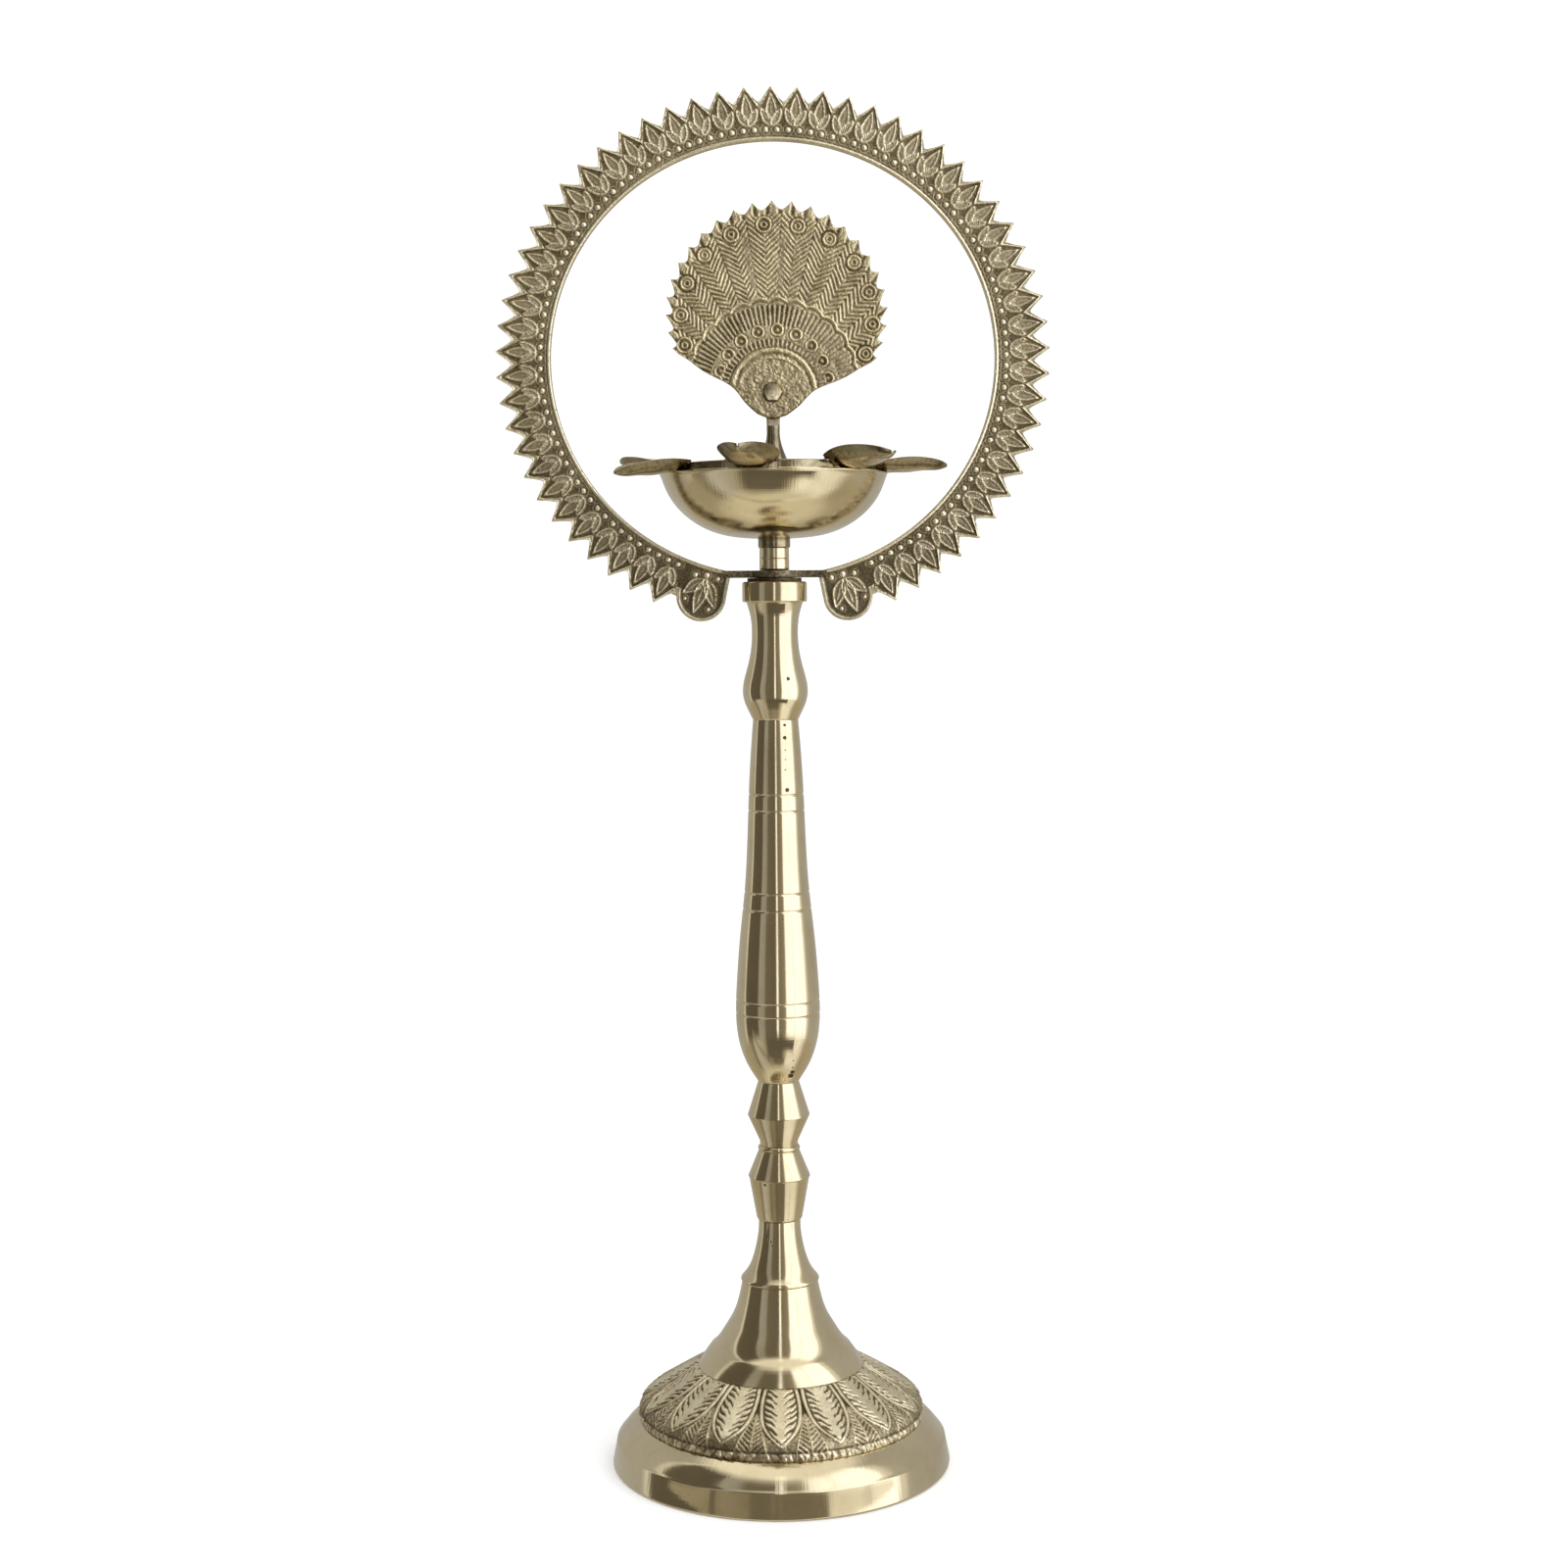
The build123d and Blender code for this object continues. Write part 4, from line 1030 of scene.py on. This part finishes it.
def tail_fan():
    bolt_z = (low("fan_nut").z + high("fan_nut").z) / 2
    front, back = low("tail_fan").y, high("tail_fan").y
    outline = np.array(fan_outline())
    hole = FAN_BORE * np.stack([np.sin(full_turn(32)), np.cos(full_turn(32))], axis=1)
    # evenly spread points inside the outline
    zs = np.arange(-13, 84, FAN_SPACING * 0.87)
    gx, gz = np.meshgrid(np.arange(-50, 50, FAN_SPACING), zs)
    gx = gx + (np.arange(len(zs)) % 2)[:, None] * FAN_SPACING / 2
    grid = np.stack([gx.ravel(), gz.ravel()], axis=1)
    rho = np.hypot(*grid.T)
    grid = grid[(rho < fan_limit(outline, grid) - 0.28) & (rho > FAN_BORE + 0.25)]
    rim = np.arange(len(outline))
    ring = np.arange(len(hole))
    edges = []
    for loop in (rim, len(rim) + ring):
        edges += zip(loop.tolist(), np.roll(loop, -1).tolist())
    verts, triangles, where = filled(np.concatenate([outline, hole, grid]), edges)
    rim_ids, hole_ids = where[rim], where[len(rim) + ring]
    h = fan_relief(*verts.T)
    worn = np.clip(0.10 + 0.78 * h + stipple(h.shape, 0.07), 0, 1.1)
    h = h + stipple(h.shape, 0.05)
    fade = step_up(fan_limit(outline, verts) - np.hypot(*verts.T), 0.0, 0.5)
    y = front + 0.35 - 0.35 * fade - 0.80 * np.clip(h, -0.1, None) * fade
    # plain back with an eased edge
    eased = verts[rim_ids] * (1 - 0.35 / np.hypot(*verts[rim_ids].T))[:, None]
    flat_back = np.concatenate([eased, verts[hole_ids]])
    flat = np.concatenate([verts, verts[rim_ids], flat_back])
    depth = np.r_[y, np.full(len(rim), back - 0.3), np.full(len(flat_back), back)]
    side, under, bore = len(verts) + rim, len(verts) + len(rim) + rim, len(verts) + 2 * len(rim) + ring
    faces = triangles.tolist()
    for near, far in ((rim_ids, side), (side, under), (bore, hole_ids)):
        faces += np.stack([np.roll(near, -1), near, far, np.roll(far, -1)], axis=1).tolist()
    back_verts, back_triangles, back_where = filled(flat_back, edges)
    index = np.zeros(len(back_verts), int)
    index[back_where] = np.r_[under, bore]
    faces += index[back_triangles][:, ::-1].tolist()
    # lean to the right, then up to the bolt
    c, s = math.cos(FAN_LEAN), math.sin(FAN_LEAN)
    x, z = flat.T
    points = np.stack([x * c + z * s, depth, z * c - x * s + bolt_z], axis=1)
    relief = np.concatenate([worn, np.full(len(points) - len(verts), 0.3)])
    make_piece("tail_fan", points, faces, "tail", fan_cast, relief, 60)


# ---- scene -----------------------------------

def keep_cad_nodes():
    for node, material in (("finial_stem", stem_brass_painted_dark), ("fan_bolt", nut_brass_painted_bright), ("fan_nut", nut_brass_painted_bright),
                           ("column_tie_rod", steel), ("base_cup_washer", steel), ("base_nut", steel),
                           ("top_stud", steel)):
        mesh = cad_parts[node].data
        for i in range(len(mesh.materials)):
            mesh.materials[i] = material


def floor_piece(name, half_x, half_y, material):
    """A level rectangle about the origin that isn't part of the lamp."""
    mesh = bpy.data.meshes.new(name)
    corners = [(-half_x, -half_y, 0), (half_x, -half_y, 0), (half_x, half_y, 0), (-half_x, half_y, 0)]
    mesh.from_pydata(corners, [], [(0, 1, 2, 3)])
    mesh.materials.append(material)
    piece = linked(name, mesh)
    return piece


def studio_floor():
    """A wide pale floor; what the metal sees of it is part of the room below."""
    material, tree = new_material("studio_floor")
    output(put(tree, "ShaderNodeBsdfDiffuse", {"Color": (0.93, 0.93, 0.925, 1)}))
    wide = floor_piece("studio_floor", 12, 12, material)
    wide.visible_glossy = False
    wide.location.z = -0.0004


WARM = (1.0, 0.90, 0.70)
NEUTRAL = (1.0, 0.99, 0.95)
BRIGHT = (1.0, 1.02, 1.10)
OLIVE = (1.0, 0.94, 0.78)
# the room as the brass sees it: azimuth in degrees (0 is the camera's side), radiance, tint
ROOM = ((-180, 0.50, NEUTRAL), (-106, 0.50, NEUTRAL), (-104, 0.85, NEUTRAL), (-100, 0.85, NEUTRAL),
        (-98, 0.15, WARM), (-57, 0.13, WARM), (-54, 0.44, NEUTRAL), (-38, 0.38, NEUTRAL), (-34, 0.20, WARM),
        (-3.4, 0.17, WARM), (-1.6, 1.8, BRIGHT), (1.0, 1.8, BRIGHT), (2.8, 0.24, WARM), (21, 0.36, WARM),
        (25, 1.7, BRIGHT), (44, 1.9, BRIGHT), (47, 1.4, BRIGHT), (52, 1.9, BRIGHT), (83, 1.85, BRIGHT),
        (87, 0.8, NEUTRAL), (90, 1.0, NEUTRAL), (94, 0.55, NEUTRAL), (110, 0.5, NEUTRAL),
        (180, 0.5, NEUTRAL))
# and what it sees of the table, from the same side
TABLE = ((-180, 0.50, WARM), (-96, 0.46, WARM), (-86, 0.24, WARM), (-74, 0.64, NEUTRAL), (-54, 0.52, NEUTRAL),
         (-42, 0.46, WARM), (-34, 0.17, WARM), (12, 0.17, WARM), (24, 0.60, WARM), (36, 1.25, NEUTRAL),
         (72, 1.10, NEUTRAL), (90, 0.50, WARM), (100, 0.50, WARM), (180, 0.50, WARM))
ROOM_SCALE = 3.0
CEILING = 1.15
TABLE_BELOW = 0.80


def radiance(value, tint):
    """A colour that the background's or the card's strength, ROOM_SCALE, brings back to value."""
    return tuple(value / ROOM_SCALE * c for c in tint)


def surroundings(turn, table):
    """Colour ramp over the azimuth, as turns from behind, for one of the tables above."""
    ramp = put(turn.id_data, "ShaderNodeValToRGB", {0: turn})
    elements = ramp.color_ramp.elements
    while len(elements) > 1:
        elements.remove(elements[0])
    for i, (degrees, value, tint) in enumerate(table):
        element = elements[0] if i == 0 else elements.new(0.5 + degrees / 360)
        element.position = 0.5 + degrees / 360
        element.color = (*radiance(value, tint), 1)
    return ramp.outputs[0]


def studio_world():
    """Soft studio surroundings: a bright window to the right front, dark ones to the left."""
    world = bpy.data.worlds.new("studio")
    bpy.context.scene.world = world
    tree = emptied(world)
    xyz = split(put(tree, "ShaderNodeTexCoord").outputs["Generated"])
    azimuth = math_node("ARCTAN2", xyz[0], times(xyz[1], -1.0))
    turn = plus(times(azimuth, 1 / (2 * math.pi)), 0.5)
    elevation = times(math_node("ARCSINE", xyz[2]), 180 / math.pi)
    off_centre = math_node("ABSOLUTE", times(azimuth, 180 / math.pi))
    colour = surroundings(turn, ROOM)
    colour = mix_colour(between(elevation, -20.0, -26.0), colour, surroundings(turn, TABLE))
    colour = mix_colour(between(elevation, -50.0, -64.0), colour, radiance(TABLE_BELOW, OLIVE))
    colour = mix_colour(between(elevation, 56.0, 66.0), colour, radiance(CEILING, NEUTRAL))
    # the table's dark middle reaches further to the right close by
    dark = times(between(elevation, -36.0, -40.0, 1.0, 0.0), between(elevation, -24.0, -27.0))
    dark = times(dark, math_node("LESS_THAN", off_centre, 50.0))
    dark = times(dark, math_node("GREATER_THAN", azimuth, math.radians(-30)))
    colour = mix_colour(dark, colour, radiance(0.15, WARM))
    lamp = times(between(off_centre, 7.0, 5.0), between(elevation, 62.0, 63.5))
    lamp = times(lamp, between(elevation, 71.0, 69.5))
    colour = mix_colour(lamp, colour, radiance(1.5, NEUTRAL))
    path = put(tree, "ShaderNodeLightPath").outputs
    plain = math_node("MAXIMUM", path["Is Camera Ray"], path["Is Diffuse Ray"])
    seen = put(tree, "ShaderNodeBackground", {"Color": colour, "Strength": ROOM_SCALE}).outputs[0]
    even = put(tree, "ShaderNodeBackground", {"Color": (1, 1, 1, 1), "Strength": 1.12}).outputs[0]
    output(put(tree, "ShaderNodeMixShader", {0: plain, 1: seen, 2: even}), "World")


# what the band round the foot sees close by: x in metres, radiance, tint
LOW_CARD = ((-0.60, 0.42, WARM), (-0.13, 0.38, WARM), (-0.12, 0.15, WARM), (-0.11, 0.15, WARM),
            (-0.10, 0.34, WARM), (-0.045, 0.30, WARM), (-0.037, 0.20, WARM), (-0.012, 0.20, WARM),
            (-0.007, 0.34, WARM), (0.0, 0.22, WARM), (0.06, 0.24, WARM), (0.075, 1.05, NEUTRAL),
            (0.15, 1.2, NEUTRAL), (0.18, 0.9, NEUTRAL), (0.23, 1.3, NEUTRAL), (0.60, 1.3, NEUTRAL))
CARD_HALF_WIDTH = 0.6
CARD_HALF_HEIGHT = 0.028


def low_card():
    """A low card in front, seen only in the metal near the floor."""
    material, tree = new_material("studio_card")
    x = coordinates(tree)[1][0]
    ragged = plus(x, between(noise_along(x, 90.0, 4.0), 0.3, 0.7, -0.012, 0.012))
    width = 2 * CARD_HALF_WIDTH
    # the ramp counts in degrees, so its full turn is the card's width
    table = [(at * 360 / width, value, tint) for at, value, tint in LOW_CARD]
    colour = surroundings(plus(times(ragged, 1 / width), 0.5), table)
    output(put(tree, "ShaderNodeEmission", {"Color": colour, "Strength": ROOM_SCALE}))
    card = floor_piece("studio_card", CARD_HALF_WIDTH, CARD_HALF_HEIGHT, material)
    card.matrix_world = Matrix.Translation((0, -0.15, -0.002)) @ Matrix.Rotation(math.radians(90), 4, "X")
    for kind in ("camera", "diffuse", "shadow", "transmission"):
        setattr(card, "visible_" + kind, False)


def soft_light():
    """A large overhead panel that gives the floor its soft shadow."""
    light = bpy.data.lights.new("overhead", "AREA")
    light.shape = "RECTANGLE"
    light.size, light.size_y = 2.4, 1.8
    light.energy = 14
    panel = linked("overhead", light)
    panel.location = (0.7, -0.9, 2.2)
    panel.rotation_euler = (math.radians(24), math.radians(16), 0)
    panel.visible_glossy = False


def camera():
    data = bpy.data.cameras.new("camera")
    data.lens = 54
    data.sensor_width = 36
    eye = linked("camera", data)
    tilt = Matrix.Rotation(math.radians(90 - 4.29), 4, "X")
    roll = Matrix.Rotation(math.radians(-0.45), 4, "Z")
    eye.matrix_world = Matrix.Translation((0.0035, -1.041, 0.384)) @ tilt @ roll
    bpy.context.scene.camera = eye


turned_parts()
leaf_dome()
halo_ring()
halo_strap()
oil_bowl()
for number, turn in enumerate(spout_angles(), 1):
    wick_spout(number, turn)
braze(spout_angles())
tail_fan()
keep_cad_nodes()
studio_floor()
low_card()
studio_world()
soft_light()
camera()
bpy.context.scene.view_settings.view_transform = "Standard"
